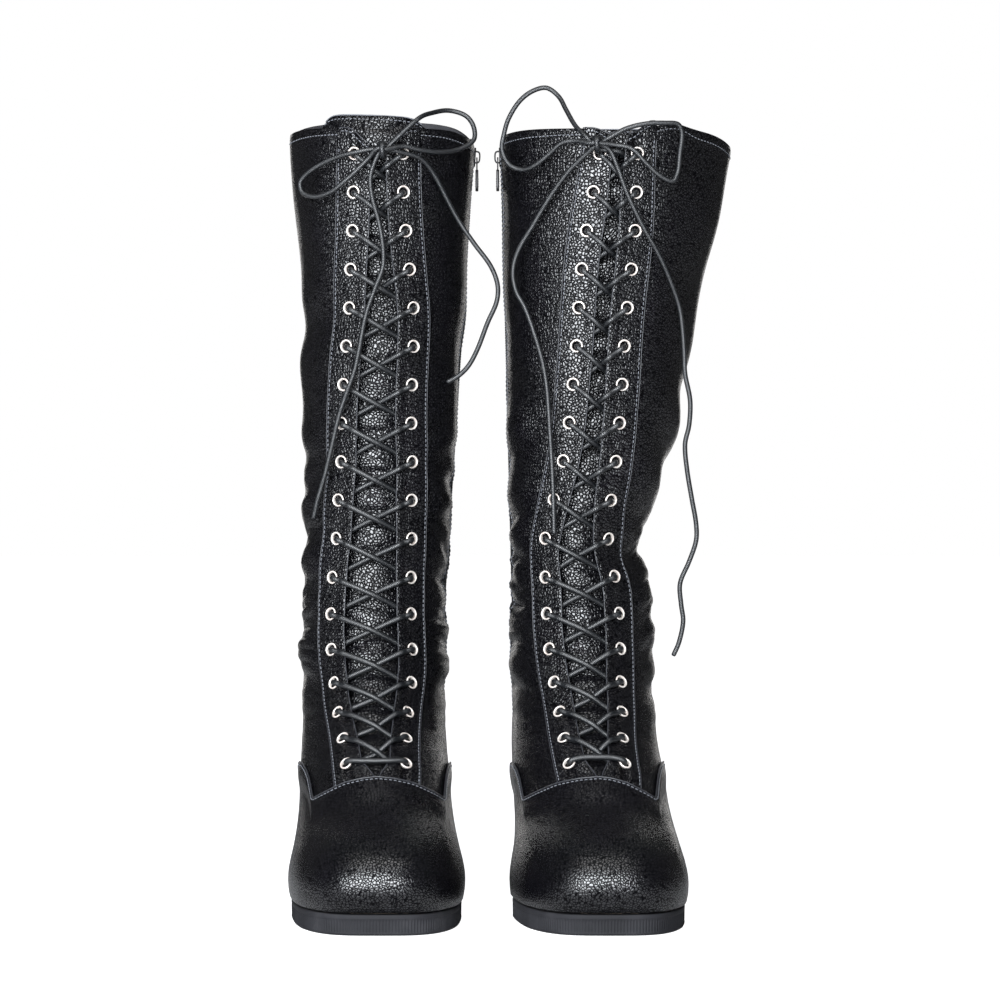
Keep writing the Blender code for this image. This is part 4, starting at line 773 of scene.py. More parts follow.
def stitch_line(path, normals, pitch=0.0027, length=0.0020, radius=0.00030, sink=0.35):
    """Separate thread stitches along a path of surface points, each a bent, tapered capsule."""
    path = np.asarray(path, float)
    seg = np.linalg.norm(np.diff(path, axis=0), axis=1)
    run = np.concatenate([[0], np.cumsum(seg)])
    count = int(run[-1] / pitch)
    ts = (np.arange(count) + 0.5) * pitch
    if count < 1:
        return []

    def rd(arr, t):
        return np.stack([np.interp(t, run, arr[:, k]) for k in range(3)], axis=-1)

    stations = np.array([-0.5, -0.36, 0.0, 0.36, 0.5])
    rads = np.array([0.25, 0.85, 1.0, 0.85, 0.25]) * radius
    lift = np.array([-0.6, 0.25, 0.55, 0.25, -0.6]) * radius
    sides = 6
    ang = 2 * np.pi * np.arange(sides) / sides
    V, F = [], []
    base = 0
    pts = rd(path, ts[:, None] + stations[None, :] * length)  # count,5,3
    nn = rd(np.asarray(normals), ts)
    for i in range(count):
        n = nn[i] / np.linalg.norm(nn[i])
        d = pts[i, -1] - pts[i, 0]
        d /= max(np.linalg.norm(d), 1e-12)
        side = np.cross(d, n)
        side /= max(np.linalg.norm(side), 1e-12)
        c = pts[i] + n[None, :] * (lift - sink * radius * 0)[:, None]
        ring = c[:, None, :] + rads[:, None, None] * (np.cos(ang)[None, :, None] * side + np.sin(ang)[None, :, None] * n * 0.8)
        V.append(ring.reshape(-1, 3))
        for a in range(4):
            for k in range(sides):
                k2 = (k + 1) % sides
                F.append([base + a * sides + k, base + a * sides + k2, base + (a + 1) * sides + k2, base + (a + 1) * sides + k])
        F.append([base + k for k in range(sides)][::-1])
        F.append([base + 4 * sides + k for k in range(sides)])
        base += 5 * sides
    return [(np.concatenate(V), F)]


# ================================================================ materials
def nodes_of(name):
    mat = bpy.data.materials.new(name)
    mat.use_nodes = True
    nt = mat.node_tree
    return mat, nt, nt.nodes["Principled BSDF"]


def add_node(nt, kind, **values):
    n = nt.nodes.new(kind)
    for k, v in values.items():
        setattr(n, k, v)
    return n


def ramp(nt, stops, interp="LINEAR"):
    r = nt.nodes.new("ShaderNodeValToRGB")
    r.color_ramp.interpolation = interp
    el = r.color_ramp.elements
    while len(el) > 1:
        el.remove(el[-1])
    el[0].position, el[0].color = stops[0][0], (*stops[0][1], 1) if len(stops[0][1]) == 3 else stops[0][1]
    for pos, col in stops[1:]:
        e = el.new(pos)
        e.color = (*col, 1)
    return r


def grey(v):
    return (v, v, v)


def coords(nt, scale=None):
    tc = nt.nodes.new("ShaderNodeTexCoord")
    if scale is None:
        return tc.outputs["Object"]
    mp = nt.nodes.new("ShaderNodeMapping")
    mp.inputs["Scale"].default_value = scale
    nt.links.new(tc.outputs["Object"], mp.inputs["Vector"])
    return mp.outputs["Vector"]


def leather(name, base=(0.0032, 0.0032, 0.0042), cell=545.0, rough=(0.19, 0.30), bump=1.0, depth=0.00023):
    """Black pebbled leather: rounded grain cells with fine creases between them, worn shine on the tops, painted shade
    in the creases and a painted highlight on the cell tops.
    """
    mat, nt, bsdf = nodes_of(name)
    L = nt.links.new
    co = coords(nt)
    warp = add_node(nt, "ShaderNodeTexNoise")
    warp.inputs["Scale"].default_value = 260.0
    warp.inputs["Detail"].default_value = 2.0
    L(co, warp.inputs["Vector"])
    sub = add_node(nt, "ShaderNodeVectorMath", operation="SUBTRACT")
    L(warp.outputs["Color"], sub.inputs[0])
    sub.inputs[1].default_value = (0.5, 0.5, 0.5)
    sc = add_node(nt, "ShaderNodeVectorMath", operation="SCALE")
    sc.inputs["Scale"].default_value = 0.0008
    L(sub.outputs[0], sc.inputs[0])
    addv = add_node(nt, "ShaderNodeVectorMath", operation="ADD")
    L(co, addv.inputs[0])
    L(sc.outputs[0], addv.inputs[1])
    cells = add_node(nt, "ShaderNodeTexVoronoi", feature="DISTANCE_TO_EDGE")
    cells.inputs["Scale"].default_value = cell
    cells.inputs["Randomness"].default_value = 0.92
    L(addv.outputs[0], cells.inputs["Vector"])
    dome = ramp(nt, [(0.0, grey(0.0)), (0.05, grey(0.10)), (0.12, grey(0.48)), (0.20, grey(0.80)), (0.30, grey(0.95)), (0.42, grey(1.0))])
    L(cells.outputs["Distance"], dome.inputs[0])
    fine = add_node(nt, "ShaderNodeTexNoise")
    fine.inputs["Scale"].default_value = 1900.0
    fine.inputs["Detail"].default_value = 3.0
    L(co, fine.inputs["Vector"])
    big = add_node(nt, "ShaderNodeTexNoise")
    big.inputs["Scale"].default_value = 34.0
    big.inputs["Detail"].default_value = 4.0
    big.inputs["Roughness"].default_value = 0.62
    L(co, big.inputs["Vector"])
    mixh = add_node(nt, "ShaderNodeMath", operation="MULTIPLY_ADD")
    L(fine.outputs["Fac"], mixh.inputs[0])
    mixh.inputs[1].default_value = 0.10
    L(dome.outputs["Color"], mixh.inputs[2])
    b = add_node(nt, "ShaderNodeBump")
    b.inputs["Strength"].default_value = bump
    b.inputs["Distance"].default_value = depth
    L(mixh.outputs[0], b.inputs["Height"])
    L(b.outputs["Normal"], bsdf.inputs["Normal"])
    # colour: painted shade darkens the creases between the grain cells and a painted highlight lightens their tops; a
    # little warmer and lighter where the finish is rubbed
    painted_grain_shade_ramp = ramp(nt, [(0.0, tuple(c * 0.45 for c in base)), (0.5, base), (1.0, tuple(c * 1.6 for c in base))])
    L(dome.outputs["Color"], painted_grain_shade_ramp.inputs[0])
    patch = ramp(nt, [(0.32, tuple(c * 0.8 for c in (1, 1, 1))), (0.62, (1.25, 1.2, 1.22)), (0.75, (1.9, 1.8, 1.85))])
    L(big.outputs["Fac"], patch.inputs[0])
    mul = add_node(nt, "ShaderNodeMix", data_type="RGBA", blend_type="MULTIPLY")
    mul.inputs["Factor"].default_value = 1.0
    L(painted_grain_shade_ramp.outputs["Color"], mul.inputs["A"])
    L(patch.outputs["Color"], mul.inputs["B"])
    L(mul.outputs["Result"], bsdf.inputs["Base Color"])
    rr = add_node(nt, "ShaderNodeMapRange")
    rr.inputs["From Min"].default_value = 0.3
    rr.inputs["From Max"].default_value = 0.75
    rr.inputs["To Min"].default_value = rough[1]
    rr.inputs["To Max"].default_value = rough[0]
    L(big.outputs["Fac"], rr.inputs["Value"])
    L(rr.outputs["Result"], bsdf.inputs["Roughness"])
    bsdf.inputs["IOR"].default_value = 1.5
    shine = add_node(nt, "ShaderNodeMapRange")
    shine.inputs["From Min"].default_value = 0.10
    shine.inputs["From Max"].default_value = 0.80
    shine.inputs["To Min"].default_value = 0.06
    shine.inputs["To Max"].default_value = 0.95
    L(dome.outputs["Color"], shine.inputs["Value"])
    L(shine.outputs["Result"], bsdf.inputs["Specular IOR Level"])
    return mat


def rubber():
    mat, nt, bsdf = nodes_of("sole_rubber")
    L = nt.links.new
    co = coords(nt)
    n = add_node(nt, "ShaderNodeTexNoise")
    n.inputs["Scale"].default_value = 900.0
    n.inputs["Detail"].default_value = 4.0
    L(co, n.inputs["Vector"])
    dust = add_node(nt, "ShaderNodeTexNoise")
    dust.inputs["Scale"].default_value = 55.0
    dust.inputs["Detail"].default_value = 5.0
    L(co, dust.inputs["Vector"])
    c = ramp(nt, [(0.30, (0.013, 0.013, 0.0155)), (0.55, (0.021, 0.021, 0.0245)), (0.80, (0.040, 0.039, 0.043))])
    L(dust.outputs["Fac"], c.inputs[0])
    L(c.outputs["Color"], bsdf.inputs["Base Color"])
    b = add_node(nt, "ShaderNodeBump")
    b.inputs["Strength"].default_value = 0.35
    b.inputs["Distance"].default_value = 0.0002
    L(n.outputs["Fac"], b.inputs["Height"])
    L(b.outputs["Normal"], bsdf.inputs["Normal"])
    r = add_node(nt, "ShaderNodeMapRange")
    r.inputs["To Min"].default_value = 0.62
    r.inputs["To Max"].default_value = 0.85
    L(dust.outputs["Fac"], r.inputs["Value"])
    L(r.outputs["Result"], bsdf.inputs["Roughness"])
    bsdf.inputs["Specular IOR Level"].default_value = 0.25
    return mat


def woven(name, dark, light, scale, rough=0.85, bump=0.5, depth=0.00015, sheen=0.0):
    """Plain weave from two crossed wave textures, with fibre noise."""
    mat, nt, bsdf = nodes_of(name)
    L = nt.links.new
    co = coords(nt)
    waves = []
    for axis in ("X", "Z"):
        w = add_node(nt, "ShaderNodeTexWave", wave_type="BANDS", bands_direction=axis, wave_profile="SIN")
        w.inputs["Scale"].default_value = scale
        w.inputs["Distortion"].default_value = 0.6
        w.inputs["Detail"].default_value = 1.0
        L(co, w.inputs["Vector"])
        waves.append(w)
    m = add_node(nt, "ShaderNodeMath", operation="MAXIMUM")
    L(waves[0].outputs["Fac"], m.inputs[0])
    L(waves[1].outputs["Fac"], m.inputs[1])
    n = add_node(nt, "ShaderNodeTexNoise")
    n.inputs["Scale"].default_value = 420.0
    n.inputs["Detail"].default_value = 4.0
    L(co, n.inputs["Vector"])
    mx = add_node(nt, "ShaderNodeMath", operation="MULTIPLY")
    L(m.outputs[0], mx.inputs[0])
    L(n.outputs["Fac"], mx.inputs[1])
    c = ramp(nt, [(0.05, dark), (0.6, light)])
    L(mx.outputs[0], c.inputs[0])
    L(c.outputs["Color"], bsdf.inputs["Base Color"])
    b = add_node(nt, "ShaderNodeBump")
    b.inputs["Strength"].default_value = bump
    b.inputs["Distance"].default_value = depth
    L(m.outputs[0], b.inputs["Height"])
    L(b.outputs["Normal"], bsdf.inputs["Normal"])
    bsdf.inputs["Roughness"].default_value = rough
    if sheen:
        bsdf.inputs["Sheen Weight"].default_value = sheen
    return mat


def lace_cord():
    """Waxed round braid; the braid runs in the mesh's UV map, along and around the cord."""
    mat, nt, bsdf = nodes_of("lace_cord")
    L = nt.links.new
    uv = nt.nodes.new("ShaderNodeTexCoord").outputs["UV"]
    heights = []
    for rot in (0.70, -0.70):
        mp = nt.nodes.new("ShaderNodeMapping")
        mp.inputs["Rotation"].default_value = (0, 0, rot)
        L(uv, mp.inputs["Vector"])
        w = add_node(nt, "ShaderNodeTexWave", wave_type="BANDS", bands_direction="X", wave_profile="SIN")
        w.inputs["Scale"].default_value = 0.42
        w.inputs["Distortion"].default_value = 0.4
        w.inputs["Detail Scale"].default_value = 1.5
        L(mp.outputs["Vector"], w.inputs["Vector"])
        heights.append(w.outputs["Fac"])
    m = add_node(nt, "ShaderNodeMath", operation="MULTIPLY")
    L(heights[0], m.inputs[0])
    L(heights[1], m.inputs[1])
    n = add_node(nt, "ShaderNodeTexNoise")
    n.inputs["Scale"].default_value = 700.0
    n.inputs["Detail"].default_value = 3.0
    L(coords(nt), n.inputs["Vector"])
    c = ramp(nt, [(0.0, (0.0025, 0.003, 0.004)), (0.5, (0.006, 0.0075, 0.0095)), (1.0, (0.022, 0.027, 0.034))])
    L(m.outputs[0], c.inputs[0])
    L(c.outputs["Color"], bsdf.inputs["Base Color"])
    r = add_node(nt, "ShaderNodeMapRange")
    r.inputs["To Min"].default_value = 0.26
    r.inputs["To Max"].default_value = 0.46
    L(n.outputs["Fac"], r.inputs["Value"])
    L(r.outputs["Result"], bsdf.inputs["Roughness"])
    b = add_node(nt, "ShaderNodeBump")
    b.inputs["Strength"].default_value = 0.6
    b.inputs["Distance"].default_value = 0.00022
    L(m.outputs[0], b.inputs["Height"])
    L(b.outputs["Normal"], bsdf.inputs["Normal"])
    bsdf.inputs["Specular IOR Level"].default_value = 0.95
    return mat


def metal(name, dark, light, rough, metallic=1.0, scratch=260.0):
    mat, nt, bsdf = nodes_of(name)
    L = nt.links.new
    co = coords(nt, (1, 1, 0.25))
    n = add_node(nt, "ShaderNodeTexNoise")
    n.inputs["Scale"].default_value = scratch
    n.inputs["Detail"].default_value = 6.0
    L(co, n.inputs["Vector"])
    c = ramp(nt, [(0.35, dark), (0.60, light)])
    L(n.outputs["Fac"], c.inputs[0])
    L(c.outputs["Color"], bsdf.inputs["Base Color"])
    r = add_node(nt, "ShaderNodeMapRange")
    r.inputs["To Min"].default_value = rough[0]
    r.inputs["To Max"].default_value = rough[1]
    L(n.outputs["Fac"], r.inputs["Value"])
    L(r.outputs["Result"], bsdf.inputs["Roughness"])
    b = add_node(nt, "ShaderNodeBump")
    b.inputs["Strength"].default_value = 0.12
    b.inputs["Distance"].default_value = 0.00005
    L(n.outputs["Fac"], b.inputs["Height"])
    L(b.outputs["Normal"], bsdf.inputs["Normal"])
    bsdf.inputs["Metallic"].default_value = metallic
    return mat


def speckled(name, a, b, scale, rough, depth=0.0002):
    """Pressed board, foam and moulded sheet."""
    mat, nt, bsdf = nodes_of(name)
    L = nt.links.new
    n = add_node(nt, "ShaderNodeTexNoise")
    n.inputs["Scale"].default_value = scale
    n.inputs["Detail"].default_value = 6.0
    n.inputs["Roughness"].default_value = 0.7
    L(coords(nt), n.inputs["Vector"])
    c = ramp(nt, [(0.3, a), (0.7, b)])
    L(n.outputs["Fac"], c.inputs[0])
    L(c.outputs["Color"], bsdf.inputs["Base Color"])
    bp = add_node(nt, "ShaderNodeBump")
    bp.inputs["Strength"].default_value = 0.5
    bp.inputs["Distance"].default_value = depth
    L(n.outputs["Fac"], bp.inputs["Height"])
    L(bp.outputs["Normal"], bsdf.inputs["Normal"])
    bsdf.inputs["Roughness"].default_value = rough
    return mat


LEATHER = leather("leather_shaft")
LEATHER_VAMP = leather("leather_vamp", cell=620.0, rough=(0.19, 0.28), bump=1.0, depth=0.000105)
LEATHER_TONGUE = leather("leather_tongue", cell=520.0, rough=(0.20, 0.30), bump=1.0, depth=0.00021)
LINING_MAT = woven("lining_cloth", (0.018, 0.018, 0.021), (0.055, 0.055, 0.062), 420.0, 0.8, 0.35, 0.0001)
RUBBER = rubber()
NICKEL = metal("eyelet_nickel", (0.86, 0.76, 0.70), (1.0, 0.93, 0.87), (0.28, 0.42), 0.40)
CORD = lace_cord()
# rolled edges in a lighter grey than the black leather: a painted highlight along the folded edges
EDGE_HIGHLIGHT_MAT = speckled("rolled_edge_painted_highlight", (0.012, 0.012, 0.015), (0.050, 0.052, 0.060), 900.0, 0.34)
TAPE_MAT = woven("zip_tape_weave", (0.004, 0.004, 0.005), (0.020, 0.020, 0.023), 620.0, 0.85, 0.8, 0.0002)
COIL_MAT = speckled("zip_coil_nylon", (0.008, 0.008, 0.009), (0.024, 0.024, 0.026), 800.0, 0.38, 0.00005)
BLACK_METAL = metal("zip_black_enamel", (0.010, 0.010, 0.011), (0.030, 0.029, 0.030), (0.22, 0.40), 0.6, 500.0)
STEEL = metal("zip_stop_steel", (0.020, 0.020, 0.022), (0.060, 0.060, 0.062), (0.25, 0.4), 0.9, 400.0)
THREAD = woven("stitch_thread", (0.10, 0.105, 0.12), (0.24, 0.25, 0.28), 2200.0, 0.55, 0.4, 0.00004)
BOARD_MAT = speckled("insole_board_fibre", (0.20, 0.155, 0.105), (0.36, 0.29, 0.21), 420.0, 0.9)
FOAM_MAT = woven("footbed_cloth", (0.018, 0.018, 0.020), (0.075, 0.075, 0.082), 520.0, 0.9, 0.6, 0.0002)
STIFF_MAT = speckled("stiffener_sheet", (0.42, 0.39, 0.33), (0.58, 0.55, 0.49), 300.0, 0.8)


# ================================================================ pieces
SHIFT = -np.array(FOOTPRINT_MIDDLE)


def place(obj, body, slot, *stands_for):
    obj.data.transform(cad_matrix(SHIFT))
    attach(obj, body)
    if stands_for:
        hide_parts(*stands_for)
    return obj


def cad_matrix(v):
    from mathutils import Matrix

    return Matrix.Translation(tuple(v))


def smoothstep(x, a, b):
    t = np.clip((np.asarray(x, float) - a) / (b - a), 0, 1)
    return t * t * (3 - 2 * t)


class Pieces:
    """All the soft and hard pieces of one boot."""

    def __init__(self, side):
        BOOT_NOW[0] = side
        self.s = Surf(side)
        self.boot = self.s.boot
        self.side, self.m = side, self.s.m
        self.col = smooth_column(self.boot)
        vs = self.s.vs
        self.zu = blur(np.array([self.boot.zip_u(float(v)) for v in vs[::6]])[None, :], 1, 1)[0]
        self.zv = vs[::6]
        self.d_of_v = np.interp(vs, FRONT_V[::-1], FRONT_DOWN[::-1])
        self.stitches = []
        self.beads = []

    # facing lines -----------------------------------------------------
    def d_at(self, V):
        return np.interp(V, self.s.vs, self.d_of_v)

    def column(self, d):
        return np.interp(d, D_FINE, self.col)

    def face_u(self, sign, V, extra):
        d = self.d_at(V)
        base = self.column(d)
        if extra == "in":
            mm = np.maximum(base - FACING_IN, LEAST_HALF_GAP)
            # the two facings meet just above the vamp
            last = row_distance(ROWS)
            mm = mm + (1.2 * MM - mm) * smoothstep(d, last - 0.004, last + 0.0115)
        else:
            mm = base + extra
        return sign * mm / self.s.length(V, sign)

    def zip_u(self, V):
        return np.interp(V, self.zv, self.zu)

    # ------------------------------------------------------------------
    def upper_grid(self, first, last, cols, rows, low=-0.30, spread=None):
        """Grid of a shaft panel from its lower edge (under the vamp) to the topline."""
        t = edged(rows)[:, None]
        c = edged(cols)[None, :] if spread is None else spread[None, :]
        U = np.broadcast_to(0.5 * (first(10.0) + last(10.0)), (t.shape[0], c.shape[1])).copy()
        V = 8 + 12 * t + 0 * c
        for _ in range(7):
            e = edge_fine(U) + low
            V = e + (topline(self.side, U) - e) * t
            f, l = first(V), last(V)
            U = f + (l - f) * c
        return U, V

    def panel(self, name, first, last, cols, rows, mat, node, lift=0.0):
        U, V = self.upper_grid(first, last, cols, rows)
        lo, hi = edge_heights(U.shape, UPPER[0] + lift, UPPER[1] + lift, True, True)
        o = sheet_mesh(self.s, f"{self.side}_{name}", U, V, lo, hi, mat)
        place(o, self.side + "_boot", "leather", f"{self.side}_{node}")
        return o

    def quarters(self):
        m = self
        first_o = lambda V: m.face_u(-1, V, FACING_OUT - 5.5 * MM)
        last_o = lambda V: -0.945 + 0 * np.asarray(V, float)
        k = 1.0
        self.panel("outer_quarter_leather", first_o, last_o, int(130 * k), int(300 * k), LEATHER, "outer_quarter")

        def close(V):
            z = self.s.read(self.s.P, self.zip_u(V), V)[..., 2]
            return smoothstep(z, 0.150, 0.173)

        def edge(V):
            return (0.35 * MM + (ZIP_EDGE - 0.35 * MM) * close(V)) / self.s.length(V, 1)

        self.zip_edge = edge
        first_f = lambda V: m.face_u(1, V, FACING_OUT - 5.5 * MM)
        last_f = lambda V: self.zip_u(V) - edge(V)
        self.panel("inner_quarter_front_leather", first_f, last_f, int(76 * k), int(300 * k), LEATHER, "inner_quarter_front")
        first_r = lambda V: self.zip_u(V) + edge(V)
        last_r = lambda V: 0.945 + 0 * np.asarray(V, float)
        self.panel("inner_quarter_rear_leather", first_r, last_r, int(76 * k), int(300 * k), LEATHER, "inner_quarter_rear")
        # back strip, lapped over both rear edges
        first_b = lambda V: 0.928 + 0 * np.asarray(V, float)
        last_b = lambda V: 1.072 + 0 * np.asarray(V, float)
        U, V = self.upper_grid(first_b, last_b, 26, int(300 * k), low=0.0)
        lo, hi = edge_heights(U.shape, 1.25 * MM, 2.35 * MM)
        dome = 0.35 * MM * np.sin(np.pi * np.clip((U - 0.928) / 0.144, 0, 1))
        o = sheet_mesh(self.s, f"{self.side}_back_strip_leather", U, V, lo - 0 * dome, hi + dome, LEATHER)
        place(o, self.side + "_boot", "leather", f"{self.side}_back_strip")
        for uu in (0.928, 1.072):
            s = 1 if uu < 1 else -1
            Vt = np.linspace(8.3, float(topline(self.side, uu)) - 0.05, 300)
            Ut = uu + s * 2.0 * MM / self.s.length(Vt, 1)
            self.thread(Ut, Vt, 2.4 * MM)
        # zip edge stitching, one row each side
        Vt = np.linspace(9.5, TOP_V - 0.48, 300)
        for s in (-1, 1):
            for off in (1.7 * MM,):
                Ut = self.zip_u(Vt) + s * (edge(Vt) + off / self.s.length(Vt, 1))
                self.thread(Ut, Vt, 1.2 * MM)
        # topline stitching
        for drop in (0.14,):
            for a, b in ((self.face_u(-1, TOP_V, FACING_OUT), -0.93), (self.face_u(1, TOP_V, FACING_OUT), float(self.zip_u(TOP_V)) - 0.045), (float(self.zip_u(TOP_V)) + 0.045, 0.93)):
                Ut = np.linspace(float(a), b, 200)
                self.thread(Ut, topline(self.side, Ut) - drop, 1.2 * MM)

    def thread(self, U, V, H, **kw):
        P = self.s.at(U, V, np.broadcast_to(H, np.shape(U)))
        N = self.s.nrm(U, V)
        self.stitches += stitch_line(P, N, **kw)

    def bead(self, U, V, H, radius=0.42 * MM):
        """The narrow rolled edge of a turned and pressed piece of leather, drawn in a lighter grey than the leather as
        a painted highlight.
        """
        P = self.s.at(U, V, np.broadcast_to(H, np.shape(U)))
        step = np.concatenate([[0], np.cumsum(np.linalg.norm(np.diff(P, axis=0), axis=1))])
        t = np.linspace(0, step[-1], max(12, int(step[-1] / (1.3 * MM))))
        P = np.stack([np.interp(t, step, P[:, k]) for k in range(3)], axis=-1)
        self.beads.append(tube_mesh(P, radius, 6)[:2])

    def vamp(self):
        k = 1.0
        c = edged(int(260 * k), 0.0022, 0.0052)[None, :]
        b = edged(int(84 * k), 0.006, 0.014)[:, None]
        U = (-0.622 + 1.244 * c) + 0 * b
        E = edge_fine(U)
        V = E * b
        gap = (1 - b) * E  # rings below the edge
        lift = 1.3 * MM * (1 - smoothstep(gap, 0.35, 1.25))
        lo, hi = edge_heights(U.shape, 0.0, UPPER[1], True, True)
        puff = 0.25 * MM * smoothstep(b, 0.0, 0.1) + 0 * U
        o = sheet_mesh(self.s, f"{self.side}_vamp_leather", U, V, lo + lift, hi + lift + puff, LEATHER_VAMP)
        place(o, self.side + "_boot", "leather", f"{self.side}_vamp")
        Ut = np.linspace(-0.615, 0.615, 900)
        Et = edge_fine(Ut)
        # stitch row set in from the edge, in the edge's own direction
        P = self.s.at(Ut, Et, np.full(Ut.shape, 2.6 * MM))
        ds = np.gradient(Ut) * self.s.length(Et, 1)
        dv = np.gradient(Et)
        # local ring spacing in metres
        q = self.s.at(Ut, Et - 0.2, np.zeros(Ut.shape))
        p = self.s.at(Ut, Et, np.zeros(Ut.shape))
        sv = np.linalg.norm(p - q, axis=1) / 0.2
        ty, tx = dv * sv, ds
        ln = np.hypot(tx, ty)
        nx, ny = ty / ln, -tx / ln
        # the vamp's rolled top edge, drawn lighter than the leather: a painted highlight
        self.bead(Ut, Et, 2.45 * MM, 0.50 * MM)
        for inset in (2.1 * MM,):
            Us = Ut + nx * inset / self.s.length(Et, 1)
            Vs = Et + ny * inset / sv
            hh = np.interp(edge_fine(Us) - Vs, [0, 0.35, 1.25], [2.75 * MM, 2.75 * MM, 1.45 * MM])
            self.thread(Us, Vs, hh)
        # heel cover
        c = edged(int(150 * k), 0.004, 0.009)[None, :]
        U = (0.616 + 0.768 * c) + 0 * b
        E = edge_fine(U)
        V = E * b
        gap = (1 - b) * E
        side_gap = np.minimum(c, 1 - c) + 0 * b
        lift = 1.3 * MM * np.maximum(1 - smoothstep(gap, 0.35, 1.25), 1 - smoothstep(side_gap, 0.035, 0.10))
        lo, hi = edge_heights(U.shape, 0.0, UPPER[1], True, True)
        o = sheet_mesh(self.s, f"{self.side}_heel_cover_leather", U, V, lo + lift, hi + lift, LEATHER_VAMP)
        place(o, self.side + "_boot", "leather", f"{self.side}_heel_cover")
        for uu, s in ((0.616, 1), (1.384, -1)):
            Vt = np.linspace(0.4, float(edge_fine(uu)) - 0.25, 120)
            self.thread(uu + s * 2.0 * MM / self.s.length(Vt, 1), Vt, 2.6 * MM)
        Ut = np.linspace(0.625, 1.375, 500)
        self.thread(Ut, edge_fine(Ut) - 0.28, 2.6 * MM)
        # linings under the vamp and the heel
        for name, ua, ub, node in (("foot_lining", -0.62, 0.62, "foot_lining"), ("heel_lining", 0.632, 1.368, "heel_lining")):
            c2 = edged(60)[None, :]
            b2 = edged(24)[:, None]
            U = ua + (ub - ua) * c2 + 0 * b2
            V = (edge_fine(U) - 0.1) * b2
            lo, hi = edge_heights(U.shape, -2.9 * MM, -1.8 * MM)
            o = sheet_mesh(self.s, f"{self.side}_{name}_cloth", U, V, lo, hi, LINING_MAT)
            place(o, self.side + "_boot", "lining", f"{self.side}_{node}")

    def linings(self):
        k = 1.0
        clear = lambda V: ZIP_CLEAR / self.s.length(V, 1)
        first = lambda V: self.face_u(-1, V, FACING_OUT - 5.0 * MM)
        last = lambda V: -2.0 + self.zip_u(V) + clear(V)
        U, V = self.upper_grid(first, last, int(160 * k), int(150 * k), low=0.1)
        # the cloth lifts outwards by 0.2 mm near the topline's edge
        up = smoothstep(V, TOP_V - 0.12, TOP_V)
        lo, hi = edge_heights(U.shape, -1.5 * MM, -0.35 * MM)
        o = sheet_mesh(self.s, f"{self.side}_shaft_lining_outer_cloth", U, V, lo + 0.2 * MM * up, hi + 0.2 * MM * up, LINING_MAT)
        place(o, self.side + "_boot", "lining", f"{self.side}_shaft_lining_outer")
        first = lambda V: self.face_u(1, V, FACING_OUT - 5.0 * MM)
        last = lambda V: self.zip_u(V) - clear(V)
        U, V = self.upper_grid(first, last, int(60 * k), int(150 * k), low=0.1)
        lo, hi = edge_heights(U.shape, -1.5 * MM, -0.35 * MM)
        o = sheet_mesh(self.s, f"{self.side}_shaft_lining_front_cloth", U, V, lo, hi, LINING_MAT)
        place(o, self.side + "_boot", "lining", f"{self.side}_shaft_lining_front")

    # facing -----------------------------------------------------------
    def facing_height(self, sign, U, V):
        """How far the facing's outer face stands off: flat where sewn, with curled tops and puckers at the eyelets."""
        d = self.d_at(V)
        x = np.abs(U) * self.s.length(V, sign)
        col = self.column(d)
        rel = x - col  # from the eyelet line, + towards the sewn edge
        h = 2.5 * MM + 0 * rel
        h += 0.55 * MM * smoothstep(-rel, 3.0 * MM, 9.0 * MM)  # free edge lifts a little
        near = d - ROW_ONE
        rows = np.array([row_distance(r + 1) for r in range(ROWS)])
        pitch = np.interp(d, rows, np.gradient(rows))
        idx = np.interp(d, rows, np.arange(ROWS))
        ph = idx - np.round(idx)
        # between the eyelets the free edge waves outwards a little, pulled in at each row
        h += 0.55 * MM * (1 - np.cos(2 * np.pi * idx)) * 0.5 * smoothstep(-rel, 2.0 * MM, 9.0 * MM)
        # dimple round each eyelet
        r2 = (rel / (4.6 * MM)) ** 2 + (ph * pitch / (4.6 * MM)) ** 2
        h -= 0.55 * MM * np.exp(-r2)
        curl = smoothstep(0.026 - np.clip(self.d_at(V), 0, 1), 0.0, 0.026)
        h += (3.6 if self.side == "right" else 1.4) * MM * curl ** 2 * smoothstep(-rel, -9 * MM, 9 * MM)
        # the foot of the facing flattens and goes under the vamp
        foot = smoothstep(V - edge_fine(U), 0.05, 0.75)
        h = 1.42 * MM + (h - 1.42 * MM) * foot
        return h, rel, ph * pitch

    def facings(self):
        k = 1.0
        for word, sign in (("outer", -1), ("inner", 1)):
            rows, cols = int(520 * k), int(30 * k)
            vt, vb = TOP_V + 0.02, 6.75
            t = edged(rows, 0.0008, 0.0019)[:, None]
            c = edged(cols, 0.016, 0.045)[None, :]
            # spread the rows by distance along the front
            neck = (10.0 if self.side == "right" else 5.0) * MM
            lifted = 4.0 * MM if self.side == "left" and sign < 0 else 0.0

            def top_drop(c):
                """Distance of the facing's top edge below the topline, across its width."""
                return neck * (1 - smoothstep(c, 0.0, 0.72)) - lifted * smoothstep(c, 0.25, 0.85)

            d0, d1 = -0.0004 + top_drop(c), row_distance(ROWS) + 0.0135
            D = d0 + (d1 - d0) * t + 0 * c
            V = v_of(D)
            a, b = self.face_u(sign, V, "in"), self.face_u(sign, V, FACING_OUT)
            U = a + (b - a) * c
